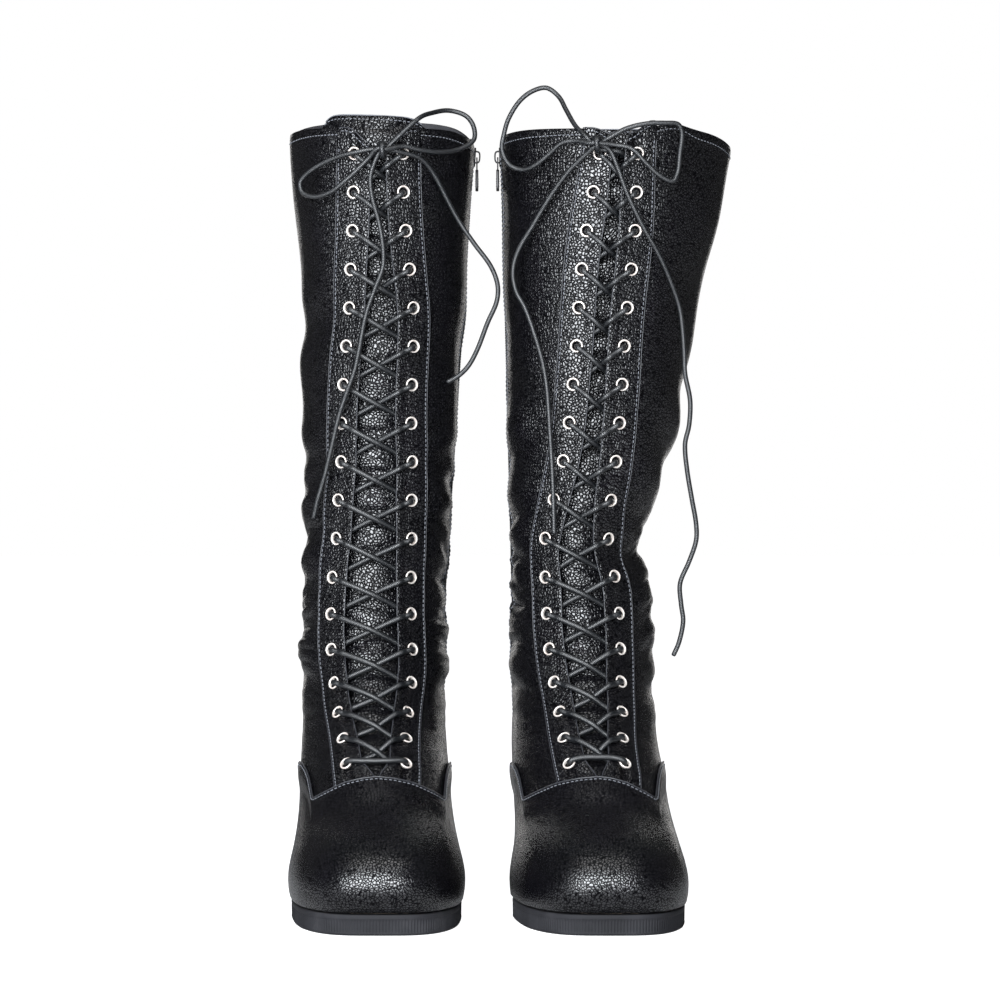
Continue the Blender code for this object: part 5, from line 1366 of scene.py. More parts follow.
            # the foot of the facing follows the vamp's edge
            V = np.minimum(V, TOP_V + (0.24 if lifted else 0.02))
            foot = edge_fine(U) - 0.3
            V = np.where(V < foot, foot + (V - foot) * 0.02, V)
            hi0, rel, along = self.facing_height(sign, U, V)
            lo0 = hi0 - 1.25 * MM
            hole = np.exp(-(np.hypot(rel, along) / (2.75 * MM)) ** 8)
            lo, hi = edge_heights(U.shape, lo0, hi0)
            hi = hi - hole * 1.9 * MM
            lo = lo - hole * 1.6 * MM
            o = sheet_mesh(self.s, f"{self.side}_{word}_facing_leather", U, V, lo, hi, LEATHER)
            place(o, self.side + "_boot", "leather", f"{self.side}_{word}_facing")
            Dt = np.linspace(0.003 + neck, row_distance(ROWS) + 0.020, 720)
            Vt = v_of(Dt)
            lines = [(self.face_u(sign, Vt, "in") + sign * 1.7 * MM / self.s.length(Vt, sign)),
                     (self.face_u(sign, Vt, FACING_OUT) - sign * 1.6 * MM / self.s.length(Vt, sign))]
            for Ut in lines[1:]:
                on = Vt > edge_fine(Ut) + 0.03
                h, _, _ = self.facing_height(sign, Ut[on], Vt[on])
                self.thread(Ut[on], Vt[on], h + 0.02 * MM)
            # rolled free and sewn edges of the facing, drawn lighter than the leather: a painted highlight
            for extra, off in (("in", 0.25), (FACING_OUT, -0.15)):
                Ut = self.face_u(sign, Vt, extra) + sign * off * MM / self.s.length(Vt, sign)
                on = Vt > edge_fine(Ut) - 0.05
                h, _, _ = self.facing_height(sign, Ut[on], Vt[on])
                self.bead(Ut[on], Vt[on], h - 0.30 * MM, 0.38 * MM)
            Ut = np.linspace(float(self.face_u(sign, TOP_V, "in")) + sign * 0.006, float(self.face_u(sign, TOP_V, FACING_OUT)) - sign * 0.006, 60)
            Vt = v_of(0.0028 + top_drop(np.linspace(0.03, 0.97, 60)))
            h, _, _ = self.facing_height(sign, Ut, Vt)
            self.thread(Ut, Vt, h + 0.02 * MM)
            # rolled top edge of the facing, likewise a painted highlight
            Vt = v_of(-0.0002 + top_drop(np.linspace(0.03, 0.97, 60)))
            h, _, _ = self.facing_height(sign, Ut, Vt)
            self.bead(Ut, Vt, h - 0.30 * MM, 0.40 * MM)
            self.eyelets(word, sign)

    def eyelets(self, word, sign):
        prof = [(3.00, -1.3), (3.00, -0.1), (3.10, 0.02), (3.55, 0.0), (3.84, 0.14), (3.92, 0.42), (3.76, 0.74), (3.42, 0.92), (3.12, 0.84), (2.92, 0.55), (2.82, 0.1), (2.80, -0.7), (2.80, -1.3)]
        parts = []
        seg = 28
        ang = 2 * np.pi * np.arange(seg) / seg
        rng = np.random.RandomState(5 if sign > 0 else 9)
        for r in range(ROWS):
            d = row_distance(r + 1)
            V = float(v_of(d))
            U = float(sign * self.column(d) / self.s.length(V, sign))
            h, _, _ = self.facing_height(sign, np.array([U]), np.array([V]))
            base = self.s.at(np.array([U]), np.array([V]), np.array([h[0] + 0.42 * MM]))[0]
            n = self.s.nrm(np.array([U]), np.array([V]))[0]
            n = n + rng.normal(scale=0.035, size=3)
            n /= np.linalg.norm(n)
            a = np.cross(n, [0, 0, 1.0])
            a /= np.linalg.norm(a)
            b = np.cross(n, a)
            verts = []
            for rad, hh in prof:
                verts.append(base + (np.cos(ang)[:, None] * a + np.sin(ang)[:, None] * b) * rad * MM + n * hh * MM)
            verts = np.concatenate(verts)
            faces = []
            np_ = len(prof)
            for i in range(np_):
                j = (i + 1) % np_
                for q in range(seg):
                    q2 = (q + 1) % seg
                    faces.append([i * seg + q, i * seg + q2, j * seg + q2, j * seg + q])
            if signed_volume(verts, faces) < 0:
                faces = [f[::-1] for f in faces]
            parts.append((verts, faces))
        v, f = merge(parts)
        o = make(f"{self.side}_{word}_eyelet_rings", v, f, NICKEL)
        place(o, self.side + "_boot", "eyelet_metal", f"{self.side}_{word}_eyelets")

    def tongue_head(self, k):
        """Distance down the front of the tongue's top edge: a broad dome, steeper at the outer end."""
        dome = TONGUE_HEAD[self.side][1]
        if self.side == "left":
            return 0.0012 - dome * (1 - k ** 2) + 0.003 * np.abs(k) ** 6
        return 0.0004 - dome * (1 - 0.22 * k ** 2 - 0.12 * k - 0.62 * np.abs(k) ** 7) + 0.002 * np.abs(k) ** 12

    def tongue_shift(self, V):
        return (-6.0 * MM if self.side == "right" else 0.0) * np.clip((V - 17.8) / 1.8, 0, 1)

    def tongue_sink(self, D):
        """The tongue lies deeper behind the facings high on the leg, where they nearly meet."""
        if self.side == "left":
            return 5.5 * MM * (1 - smoothstep(D, 0.17, 0.23)) * smoothstep(D, 0.010, 0.030)
        return 2.6 * MM * (1 - smoothstep(D, 0.09, 0.14)) * smoothstep(D, 0.014, 0.034)

    def tongue_lean(self, D):
        return (4.2 if self.side == "right" else 2.0) * MM * smoothstep(-D, -0.012, 0.009)

    def tongue(self):
        rows, cols = 420, 44
        t = edged(rows, 0.0012, 0.003)[:, None]
        c = edged(cols, 0.012, 0.03)[None, :]
        wide, dome = TONGUE_HEAD[self.side]
        wide += (6.0 if self.side == "right" else 0.0) * MM
        low = float(np.interp(6.3, FRONT_V[::-1], FRONT_DOWN[::-1]))
        head = self.tongue_head(2 * c - 1)
        D = head + (low - head) * t + 0 * c
        V = v_of(D)
        half = TONGUE_HALF - 0.0003 + (wide - TONGUE_HALF) * np.clip((V - 18.6) / 1.0, 0, 1)
        X = (2 * c - 1) * half
        U = (X + self.tongue_shift(V)) / self.s.length(V, 1)
        rng = np.random.RandomState(3 if self.side == "right" else 4)
        wob = np.zeros_like(X)
        for _ in range(14):
            lz = rng.uniform(7, 26) * MM
            lx = rng.uniform(30, 90) * MM
            wob += np.sin(2 * np.pi * D / lz + rng.uniform(0, 6.28)) * np.cos(2 * np.pi * X / lx + rng.uniform(0, 6.28))
        wob *= 0.16 * MM
        # pillows between the crossed strands
        rows_d = np.array([row_distance(r + 1) for r in range(ROWS)])
        idx = np.interp(D, rows_d, np.arange(ROWS))
        pil = 0.55 * MM * np.cos(2 * np.pi * idx) * np.exp(-(X / (11 * MM)) ** 2)
        hi0 = -3.75 * MM + np.clip(wob + pil, -1.0 * MM, 0.55 * MM) - self.tongue_lean(D) - self.tongue_sink(D)
        lo, hi = edge_heights(U.shape, hi0 - 1.9 * MM, hi0)
        o = sheet_mesh(self.s, f"{self.side}_tongue_leather", U, V, lo, hi, LEATHER_TONGUE)
        place(o, self.side + "_tongue_flap", "leather", f"{self.side}_tongue")
        # edge stitching round the head of the tongue, and its rolled rim drawn in the light thread colour as a painted
        # highlight
        k = np.linspace(-0.93, 0.93, 160)
        Dt = self.tongue_head(k) + 0.0024
        Vt = v_of(Dt)
        Ut = (k * (wide - 0.0003) + self.tongue_shift(Vt)) / self.s.length(Vt, 1)
        keep, self.stitches = self.stitches, []
        self.thread(Ut, Vt, -3.7 * MM - self.tongue_lean(Dt))
        Dt = self.tongue_head(k)
        Vt = v_of(Dt)
        Ut = (k * (wide - 0.0003) + self.tongue_shift(Vt)) / self.s.length(Vt, 1)
        rim, self.beads = self.beads, []
        # the rim bead takes the thread colour: a painted highlight along the tongue's top edge
        self.bead(Ut, Vt, -4.4 * MM - self.tongue_lean(Dt), 0.38 * MM)
        v, f = merge(self.stitches + self.beads)
        self.beads = rim
        self.stitches = keep
        o = make(f"{self.side}_tongue_stitching_and_rim_highlight", v, f, THREAD)
        place(o, self.side + "_tongue_flap", "lace_cord")

    # lace -------------------------------------------------------------
    def pt(self, x, d, h):
        V = float(v_of(d))
        s = 1 if x >= 0 else -1
        U = x / float(self.s.length(V, s))
        return self.s.at(np.array([U]), np.array([V]), np.array([h]))[0]

    def top_at(self, sign, x, d):
        """Outer face of the facing here."""
        V = np.array([float(v_of(d))])
        U = np.array([sign * abs(x) / float(self.s.length(V, sign)[0])])
        h, _, _ = self.facing_height(sign, U, V)
        return float(h[0])

    def crossing(self, row, sign, over):
        d0, d1 = row_distance(row), row_distance(row + 1)
        a = np.array([sign * float(self.column(d0)), d0])
        b = np.array([-sign * float(self.column(d1)), d1])
        run = np.linalg.norm(b - a)
        way = (b - a) / run
        cx = a + (b - a) * (a[0] / (a[0] - b[0]))
        in0 = max(float(self.column(0.5 * (d0 + cx[1]))) - FACING_IN, LEAST_HALF_GAP)
        in1 = max(float(self.column(0.5 * (d1 + cx[1]))) - FACING_IN, LEAST_HALF_GAP)
        t0 = (abs(a[0]) - in0) / (abs(a[0]) + abs(b[0]))
        t1 = 1 - (abs(b[0]) - in1) / (abs(a[0]) + abs(b[0]))
        e0, e1 = a + (b - a) * t0, a + (b - a) * t1
        top = self.top_at(sign, abs(a[0]), d0)
        edge_top = self.top_at(sign, abs(e0[0]), e0[1])
        sag = 1.6 * MM
        out = [
            (a + way * 0.15 * MM, 0.6 * MM),
            (a + way * 0.9 * MM, top + 1.9 * MM),
            (a + way * 3.0 * MM, top + 2.75 * MM),
            (a + way * 6.0 * MM, top + 2.0 * MM),
            (e0 - way * 0.6 * MM, edge_top + 1.75 * MM),
        ]
        if over:
            out.append((cx + np.array([0, sag * 0.35]), 3.1 * MM))
        else:
            out.append((cx + np.array([0, sag * 0.35]), -0.35 * MM))
        out += [
            (e1 - way * 0.4 * MM, -0.75 * MM),
            (b - way * 3.4 * MM, -1.05 * MM),
            (b - way * 0.9 * MM, -0.75 * MM),
        ]
        return [self.pt(p[0], p[1], h) for p, h in out]

    def lace(self):
        samples = front_map(self)
        m = self.m
        bow = BOWS[self.side]
        kx, kz = bow["knot"]

        def lay_pt(x, z, clear):
            return lay(samples, x, z, clear)

        y0 = lay_pt(kx, kz, 6.2 * MM)[1]

        def bow_part(points, clear):
            q = []
            for i, (x, z) in enumerate(points):
                q.append(lay_pt(kx + x, kz + z, clear if np.ndim(clear) == 0 else clear[i]))
            q = np.array(q)
            for _ in range(2):
                q[1:-1, 1] = 0.25 * q[:-2, 1] + 0.5 * q[1:-1, 1] + 0.25 * q[2:, 1]
            return list(q)

        def half(sign, name):
            sx = sign * m
            tail = bow_part(bow[name + "_tail"], 6.4 * MM)[::-1]
            lp = bow[name + "_loop"]
            cl = [7.0 * MM + 4.0 * MM * math.sin(math.pi * i / (len(lp) - 1)) for i in range(len(lp))]
            loop = bow_part(lp, cl)[::-1]
            K = np.array([kx, y0, kz])
            into = [K + np.array([sx * 0.0030, -0.0035, 0.0008]), K + np.array([-sx * 0.0016, -0.0040, 0.0016])]
            back = [K + np.array([sx * 0.0022, 0.0006, 0.0012]), K + np.array([-sx * 0.0004, 0.0012, -0.0016])]
            d = row_distance(1)
            c = float(self.column(d))
            top = self.top_at(sign, c, d)
            gap = c - FACING_IN
            under = [
                self.pt(sign * 0.8 * MM, d - 0.0008, top + 2.6 * MM),
                self.pt(sign * max(gap, 3.0 * MM) * 0.8, d + 0.0012, 0.9 * MM),
                self.pt(sign * (gap + 3.0 * MM), d + 0.0008, -0.8 * MM),
                self.pt(sign * (c - 1.0 * MM), d, -0.9 * MM),
                self.pt(sign * (c - 0.15 * MM), d, -0.2 * MM),
            ]
            return tail, into, loop, back, under

        tail, into, loop, back, under = half(-1, "out")
        slack = [under[0]]
        path = list(tail) + into[::-1] + list(loop) + back + under
        sign = -1
        for row in range(1, ROWS):
            path += self.crossing(row, sign, sign * m < 0)
            sign = -sign
        d = row_distance(ROWS)
        c = float(self.column(d))
        end = -sign
        rise = 0.0035 if self.side == "left" else 0.0004
        top = self.top_at(sign, c, d)
        bar = [(sign * c, d, 0.4 * MM), (sign * (c - 0.8 * MM), d, top + 1.9 * MM), (sign * (c - 3.0 * MM), d - rise * 0.3, top + 2.6 * MM),
               (sign * (c - 9.0 * MM), d - rise * 0.9, top + 2.0 * MM), (0.0001, d - rise, 3.6 * MM), (-sign * (c - 9.0 * MM), d - rise * 0.9, top + 2.0 * MM),
               (-sign * (c - 3.0 * MM), d - rise * 0.3, top + 2.6 * MM), (-sign * (c - 0.8 * MM), d, top + 1.9 * MM), (-sign * c, d, 0.4 * MM)]
        path += [self.pt(*b) for b in bar]
        sign = end
        for row in range(ROWS - 1, 0, -1):
            path += self.crossing(row, -sign, -sign * m < 0)[::-1]
            sign = -sign
        tail, into, loop, back, under = half(1, "in")
        slack.append(under[0])
        path += under[::-1] + back[::-1] + list(loop)[::-1] + into + list(tail)[::-1]
        clean = [np.asarray(path[0])]
        for p in path[1:]:
            if np.linalg.norm(p - clean[-1]) > 0.5 * MM:
                clean.append(np.asarray(p))
        line = resample(spline(clean, 7), 0.9 * MM)
        n = len(line)
        # the ends of the cord are sealed tips
        first, last = [int(np.argmin(np.linalg.norm(line - q, axis=1))) for q in (slack[0], slack[1])]
        rad = np.full(n, 1.40 * MM)
        rad[min(first, last):max(first, last)] = 1.66 * MM
        rad = np.convolve(np.pad(rad, 4, mode="edge"), np.ones(9) / 9, mode="valid")
        rad[:1] = rad[-1:] = 1.0 * MM
        v, f, run = tube_mesh(line, rad, 12)
        K = np.array([kx, y0, kz])
        # the knot: a turn and a half wound over the crossing
        tt = np.linspace(0, 2 * np.pi * 1.45, 60)
        wrap = np.stack([K[0] + 0.0011 * np.sin(tt * 0.5) + (tt / tt[-1] - 0.5) * 0.0042, K[1] - 0.0018 + 0.0041 * np.cos(tt), K[2] + 0.0004 + 0.0039 * np.sin(tt)], axis=1)
        v2, f2, run2 = tube_mesh(wrap, 1.48 * MM, 12)
        allv, allf = merge([(v, f), (v2, f2)])
        o = make(f"{self.side}_lace_cord", allv, allf, CORD)
        # UV: millimetres along and around, for the braid
        uvl = o.data.uv_layers.new(name="cord")
        runs = np.concatenate([np.repeat(run, 12), np.repeat(run2, 12)]) * 1000
        a = np.tile(np.arange(12), len(run) + len(run2)) / 12.0 * (2 * math.pi * 1.52)
        loops = np.zeros(len(o.data.loops), int)
        o.data.loops.foreach_get("vertex_index", loops)
        uv = np.stack([runs[loops], a[loops]], axis=1)
        # close the seam where the last side meets the first
        starts = np.zeros(len(o.data.polygons), int)
        o.data.polygons.foreach_get("loop_start", starts)
        tot = np.zeros(len(o.data.polygons), int)
        o.data.polygons.foreach_get("loop_total", tot)
        quad = tot == 4
        for i in np.nonzero(quad)[0]:
            s = starts[i]
            seg = uv[s:s + 4, 1]
            if seg.max() - seg.min() > 6:
                seg[seg < 3] += 2 * math.pi * 1.52
        uvl.data.foreach_set("uv", uv.ravel())
        place(o, self.side + "_boot", "lace_cord", f"{self.side}_lace")

    # sole -------------------------------------------------------------
    def sole(self):
        n_side = 460
        us = np.concatenate([np.linspace(0, 1, n_side, endpoint=False), np.linspace(-1, 0, n_side, endpoint=False)])
        P = self.s.at(us, np.zeros(us.shape), np.zeros(us.shape))
        N = self.s.nrm(us, np.zeros(us.shape))
        N[:, 2] = 0
        N /= np.linalg.norm(N, axis=1)[:, None]
        P = resample_closed(P[:, :2], 1500)
        nrm = closed_normals(P, self.m)
        run = np.concatenate([[0], np.cumsum(np.linalg.norm(np.diff(P, axis=0), axis=1))])
        count = round((run[-1] + np.linalg.norm(P[0] - P[-1])) / (1.75 * MM))
        ph = 2 * np.pi * count * np.arange(len(P)) / len(P)
        rib = 0.5 + 0.5 * np.tanh(2.2 * np.cos(ph))
        profile = [(0.0, -1.6, 0), (0.0, -0.9, 0), (0.35, -0.35, 0), (1.1, 0.05, 0), (1.5, 0.1, 0), (1.7, 0.0, 1), (2.2, 0.0, 1), (4.5, 0.05, 1), (7.0, 0.1, 1), (8.6, 0.1, 1), (8.9, 0.1, 0), (9.1, 0.16, 0), (9.5, 0.18, 0), (10.6, 0.16, 0), (11.1, 0.06, 0), (11.4, -0.2, 0), (11.4, -1.5, 0), (11.4, -6.0, 0)]
        rows = []
        for z, out, ribbed in profile:
            off = (out * MM) - ribbed * (1 - rib) * 0.42 * MM
            q = P + nrm * (off if np.ndim(off) else np.full(len(P), off))[:, None]
            rows.append(np.concatenate([q, np.full((len(P), 1), z * MM)], axis=1))
        verts = np.concatenate(rows)
        n = len(P)
        faces = []
        for i in range(len(rows) - 1):
            a = i * n + np.arange(n)
            b = i * n + (np.arange(n) + 1) % n
            faces.append(np.stack([a, b, b + n, a + n], axis=-1))
        faces = np.concatenate(faces).tolist()
        top = [(len(rows) - 1) * n + k for k in range(n)]
        # bottom: tread blocks on a grid between the two sides
        base = len(verts)
        inner = rows[0][:, :2]
        half = n // 2
        A = inner[:half + 1]
        B = np.concatenate([inner[:1], inner[:half - 1:-1]])
        steps = 34
        idx = np.linspace(1, half - 1, 330).astype(int)
        grid = []
        for i in idx:
            t = np.linspace(0, 1, steps)[:, None]
            grid.append(A[i] * (1 - t) + B[i] * t)
        grid = np.array(grid)
        y = grid[:, :, 1]
        x = grid[:, :, 0] - self.boot.centre_x(y, 0.0)
        wave = np.cos(2 * np.pi * (y / (5.2 * MM) + 0.9 * np.abs(x) / (9 * MM)))
        groove = smoothstep(wave, 0.15, 0.55)
        edge = np.minimum(np.linspace(0, 1, steps), np.linspace(1, 0, steps))[None, :]
        keep = smoothstep(edge, 0.06, 0.10)
        arch = smoothstep(y, -0.015, 0.005) * (1 - smoothstep(y, 0.015, 0.03))
        z = (groove * keep * (1 - arch) * 1.1 + arch * keep * 0.7) * MM
        gv = np.concatenate([grid.reshape(-1, 2), z.reshape(-1, 1)], axis=1)
        gi = base + np.arange(len(gv)).reshape(len(idx), steps)
        gf = np.stack([gi[:-1, :-1], gi[1:, :-1], gi[1:, 1:], gi[:-1, 1:]], axis=-1).reshape(-1, 4)
        verts = np.concatenate([verts, gv])
        if signed_volume(verts, np.array(faces)) < 0:
            faces = [f[::-1] for f in faces]
        g = gf.tolist()
        # the tread faces look down
        a, b, c = verts[gf[0][0]], verts[gf[0][1]], verts[gf[0][2]]
        if np.cross(b - a, c - a)[2] > 0:
            g = [f[::-1] for f in g]
        nrm_up = top if signed_area(verts[top][:, :2]) > 0 else top[::-1]
        o = make(f"{self.side}_outsole_rubber", verts, faces + g + [nrm_up], RUBBER)
        place(o, self.side + "_boot", "sole_rubber", f"{self.side}_outsole")

    # zip --------------------------------------------------------------
    def zipper(self):
        top, down, across, out = zip_axes(self.boot)
        length = (ZIP_TOP_Z - ZIP_BOTTOM_Z) / abs(down[2])
        front = -1 if across[1] > 0 else 1
        for word, s in (("front", front), ("rear", -front)):
            # tape: a thin band with a cord edge
            w = np.linspace(-0.0035, length + 0.0125, 220)
            prof = [(0.65, -1.9), (0.65, -1.3), (0.9, -1.22), (2.9, -1.22), (3.3, -1.3), (7.6, -1.3), (8.2, -1.42), (8.2, -1.78), (7.6, -1.9)]
            rng = np.random.RandomState(2)
            verts = []
            for a in w:
                for t, h in prof:
                    verts.append(top + down * a + across * s * t * MM + out * (h * MM + 0.05 * MM * math.sin(a * 2600)))
            n = len(prof)
            faces = []
            for i in range(len(w) - 1):
                for q in range(n):
                    q2 = (q + 1) % n
                    faces.append([i * n + q, i * n + q2, (i + 1) * n + q2, (i + 1) * n + q])
            faces.append(list(range(n))[::-1])
            e = (len(w) - 1) * n
            faces.append([e + k for k in range(n)])
            verts = np.array(verts)
            quads = [f for f in faces if len(f) == 4]
            if signed_volume(verts, quads) < 0:
                faces = [f[::-1] for f in faces]
            o = make(f"{self.side}_zip_tape_{word}_weave", verts, faces, TAPE_MAT)
            place(o, self.side + "_boot", "zip_tape", f"{self.side}_zip_tape_{word}")
            # coil: separate bent nylon turns
            pitch = 1.55 * MM
            count = int((length - 0.012) / pitch)
            parts = []
            for k in range(count):
                a = 0.002 + (k + (0.0 if s > 0 else 0.5)) * pitch
                o1, i1 = 2.75, 0.15
                pth = [(o1, -1.0, -0.30), (o1 + 0.35, -0.2, -0.25), (o1 - 0.1, 0.55, -0.15), (1.4, 0.72, 0.0), (i1 + 0.15, 0.62, 0.05), (i1 - 0.45, 0.15, 0.1), (i1 - 0.2, -0.5, 0.15), (1.2, -0.85, 0.3), (o1 - 0.2, -0.95, 0.45)]
                pts = [top + down * (a + q[2] * pitch) + across * s * q[0] * MM + out * q[1] * MM for q in pth]
                v, f, _ = tube_mesh(spline(pts, 3), 0.32 * MM, 6)
                parts.append((v, f))
            v, f = merge(parts)
            o = make(f"{self.side}_zip_coil_{word}_turns", v, f, COIL_MAT)
            place(o, self.side + "_boot", "zip_coil", f"{self.side}_zip_coil_{word}")
        # slider
        c = top + down * 0.0065
        axes = (down, across, out)
        L2 = SLIDER_LENGTH / 2 / MM
        body = [(-L2, -2.6), (-L2 + 0.6, -3.7), (-L2 + 2.2, -4.3), (0.5, -4.2), (2.6, -3.6), (L2 - 0.6, -3.3), (L2, -2.8), (L2, 2.8), (L2 - 0.6, 3.3), (2.6, 3.6), (0.5, 4.2), (-L2 + 2.2, 4.3), (-L2 + 0.6, 3.7), (-L2, 2.6)]
        parts = [
            rounded_plate(c, axes, body, 0.95, 1.95, 0.32),
            rounded_plate(c, axes, body, -3.2, -2.25, 0.3),
            rounded_plate(c, axes, [(-L2 + 0.4, 3.1), (L2 - 0.8, 2.75), (L2 - 0.8, 3.3), (0.5, 4.1), (-L2 + 2.0, 4.2), (-L2 + 0.6, 3.8)], -0.9, 1.3, 0.15),
            rounded_plate(c, axes, [(-L2 + 0.4, -3.1), (-L2 + 0.6, -3.8), (-L2 + 2.0, -4.2), (0.5, -4.1), (L2 - 0.8, -3.3), (L2 - 0.8, -2.75)], -0.9, 1.3, 0.15),
            rounded_plate(c, axes, [(-L2, -0.35), (-L2 + 1.9, -0.2), (-L2 + 1.9, 0.2), (-L2, 0.35)], -2.6, 1.3, 0.08),
        ]
        crown = [(-3.4, 1.2), (-3.5, 2.6), (-3.1, 3.7), (-2.0, 4.25), (0.0, 4.4), (2.0, 4.25), (3.0, 3.6), (3.3, 2.6), (3.2, 1.2)]
        pts = [c + down * a * MM + out * h * MM for a, h in crown]
        line = spline(pts, 5)
        parts.append(flat_bar(line, across, 0.85 * MM, 0.45 * MM))
        v, f = merge(parts)
        o = make(f"{self.side}_zip_slider_metal", v, f, BLACK_METAL)
        place(o, self.side + "_slider", "zip_metal", f"{self.side}_zip_slider")
        # pull
        hinge = c + down * 0.5 * MM + out * 2.75 * MM
        plumb = np.array([0.0, 0.0, -1.0])
        swing = np.cross(plumb, across)
        swing /= np.linalg.norm(swing)
        if swing @ out < 0:
            swing = -swing
        side_way = np.cross(swing, plumb)
        ax = (plumb, side_way, swing)
        outer = [(-0.40, -1.5), (-0.42, 0.0), (-0.40, 1.5), (0.2, 1.95), (1.6, 2.0), (3.4, 2.0), (5.2, 1.95), (6.6, 1.8), (7.7, 1.5), (8.0, 0.0), (7.7, -1.5), (6.6, -1.8), (5.2, -1.95), (4.2, -2.0), (3.4, -2.0), (2.4, -2.0), (1.6, -2.0), (0.2, -1.95)]
        slot_ = [(0.5, -1.0), (0.45, 0.0), (0.5, 1.0), (1.2, 1.15), (2.2, 1.2), (4.4, 1.15), (5.0, 0.8), (5.3, 0.4), (5.4, 0.0), (5.3, -0.4), (5.0, -0.8), (4.9, -1.0), (4.6, -1.1), (4.4, -1.15), (3.4, -1.18), (2.8, -1.2), (2.2, -1.2), (1.2, -1.15)]
        v, f = ring_plate(hinge, ax, outer, slot_, 0.42)
        grip = [(7.0, -1.0), (7.5, -1.45), (8.4, -1.65), (17.5, -1.70), (19.0, -1.45), (19.8, -0.8), (20.0, 0.0), (19.8, 0.8), (19.0, 1.45), (17.5, 1.70), (8.4, 1.65), (7.5, 1.45), (7.0, 1.0)]
        bar = rounded_plate(hinge, ax, grip, -0.9, 0.9, 0.42)
        # raised grip ribs near the end
        parts = [(v, f), bar]
        for k in range(4):
            a = 12.6 + k * 1.45
            for hs in (-1, 1):
                pts = [hinge + plumb * a * MM + side_way * t * MM + swing * hs * 0.80 * MM for t in (-1.0, -0.4, 0.4, 1.0)]
                parts.append(tube_mesh(np.array(pts), 0.28 * MM, 6)[:2])
        v, f = merge(parts)
        o = make(f"{self.side}_zip_pull_metal", v, f, BLACK_METAL)
        place(o, self.side + "_pull", "zip_metal", f"{self.side}_zip_pull")

    def finish_beads(self):
        v, f = merge(self.beads)
        # the rolled edges take the lighter edge material: a painted highlight along the folded edges
        o = make(f"{self.side}_rolled_edges", v, f, EDGE_HIGHLIGHT_MAT)
        place(o, self.side + "_boot", "leather")

    def finish_stitches(self):
        v, f = merge(self.stitches)
        o = make(f"{self.side}_stitching", v, f, THREAD)
        place(o, self.side + "_boot", "lace_cord")


def resample_closed(p, n):
    q = np.concatenate([p, p[:1]])
    seg = np.linalg.norm(np.diff(q, axis=0), axis=1)
    run = np.concatenate([[0], np.cumsum(seg)])
    t = np.linspace(0, run[-1], n, endpoint=False)
    return np.stack([np.interp(t, run, q[:, k]) for k in range(q.shape[1])], axis=1)


def closed_normals(p, m):
    d = np.roll(p, -1, 0) - np.roll(p, 1, 0)
    n = np.stack([d[:, 1], -d[:, 0]], axis=1)
    n /= np.linalg.norm(n, axis=1)[:, None]
    c = p - p.mean(0)
    if (n * c).sum() < 0:
        n = -n
    for _ in range(3):
        n = (np.roll(n, 1, 0) + n + np.roll(n, -1, 0)) / 3
    return n / np.linalg.norm(n, axis=1)[:, None]


def signed_area(p):
    q = np.roll(p, -1, 0)
    return 0.5 * (p[:, 0] * q[:, 1] - p[:, 1] * q[:, 0]).sum()


def inset(outline, amount):
    p = np.asarray(outline, float)
    d = np.roll(p, -1, 0) - np.roll(p, 1, 0)
    n = np.stack([d[:, 1], -d[:, 0]], axis=1)
    n /= np.maximum(np.linalg.norm(n, axis=1)[:, None], 1e-9)
    if ((p - p.mean(0)) * n).sum() < 0:
        n = -n
    return p - n * amount


def rounded_plate(c, axes, outline, h0, h1, bevel):
    """Plate with rounded edges over an outline given in mm along axes 0 and 1."""
    levels = [(h0, 1.0), (h0 + 0.3 * bevel, 0.3), (h0 + bevel, 0.0), (h1 - bevel, 0.0), (h1 - 0.3 * bevel, 0.3), (h1, 1.0)]
    verts, n = [], len(outline)
    for h, k in levels:
        for a, b in inset(outline, k * bevel):
            verts.append(c + axes[0] * a * MM + axes[1] * b * MM + axes[2] * h * MM)
    verts = np.array(verts)
    faces = []
    for i in range(len(levels) - 1):
        for q in range(n):
            q2 = (q + 1) % n
            faces.append([i * n + q, i * n + q2, (i + 1) * n + q2, (i + 1) * n + q])
    if signed_volume(verts, faces) < 0:
        faces = [f[::-1] for f in faces]
        faces.append(list(range(n)))
        faces.append([(len(levels) - 1) * n + k for k in range(n)][::-1])
    else:
        faces.append(list(range(n))[::-1])
        faces.append([(len(levels) - 1) * n + k for k in range(n)])
    return verts, faces


def ring_plate(c, axes, outer, hole, half):
    """Flat plate with a slot, its edges eased. Both outlines have the same number of points."""
    loops = []
    o, h = np.asarray(outer, float), np.asarray(hole, float)
    for level, k in ((-half, 1.0), (-half * 0.55, 0.0), (half * 0.55, 0.0), (half, 1.0)):
        loops.append((inset(o, 0.22 * k), level))
    for level, k in ((half, 1.0), (half * 0.55, 0.0), (-half * 0.55, 0.0), (-half, 1.0)):
        loops.append((inset(h, -0.15 * k), level))
    n = len(o)
    verts = []
    for pts, level in loops:
        for a, b in pts:
            verts.append(c + axes[0] * a * MM + axes[1] * b * MM + axes[2] * level * MM)
    verts = np.array(verts)
    faces = []
    for i in range(len(loops)):
        j = (i + 1) % len(loops)
        for q in range(n):
            q2 = (q + 1) % n
            faces.append([i * n + q, i * n + q2, j * n + q2, j * n + q])
    if signed_volume(verts, faces) < 0:
        faces = [f[::-1] for f in faces]
    return verts, faces


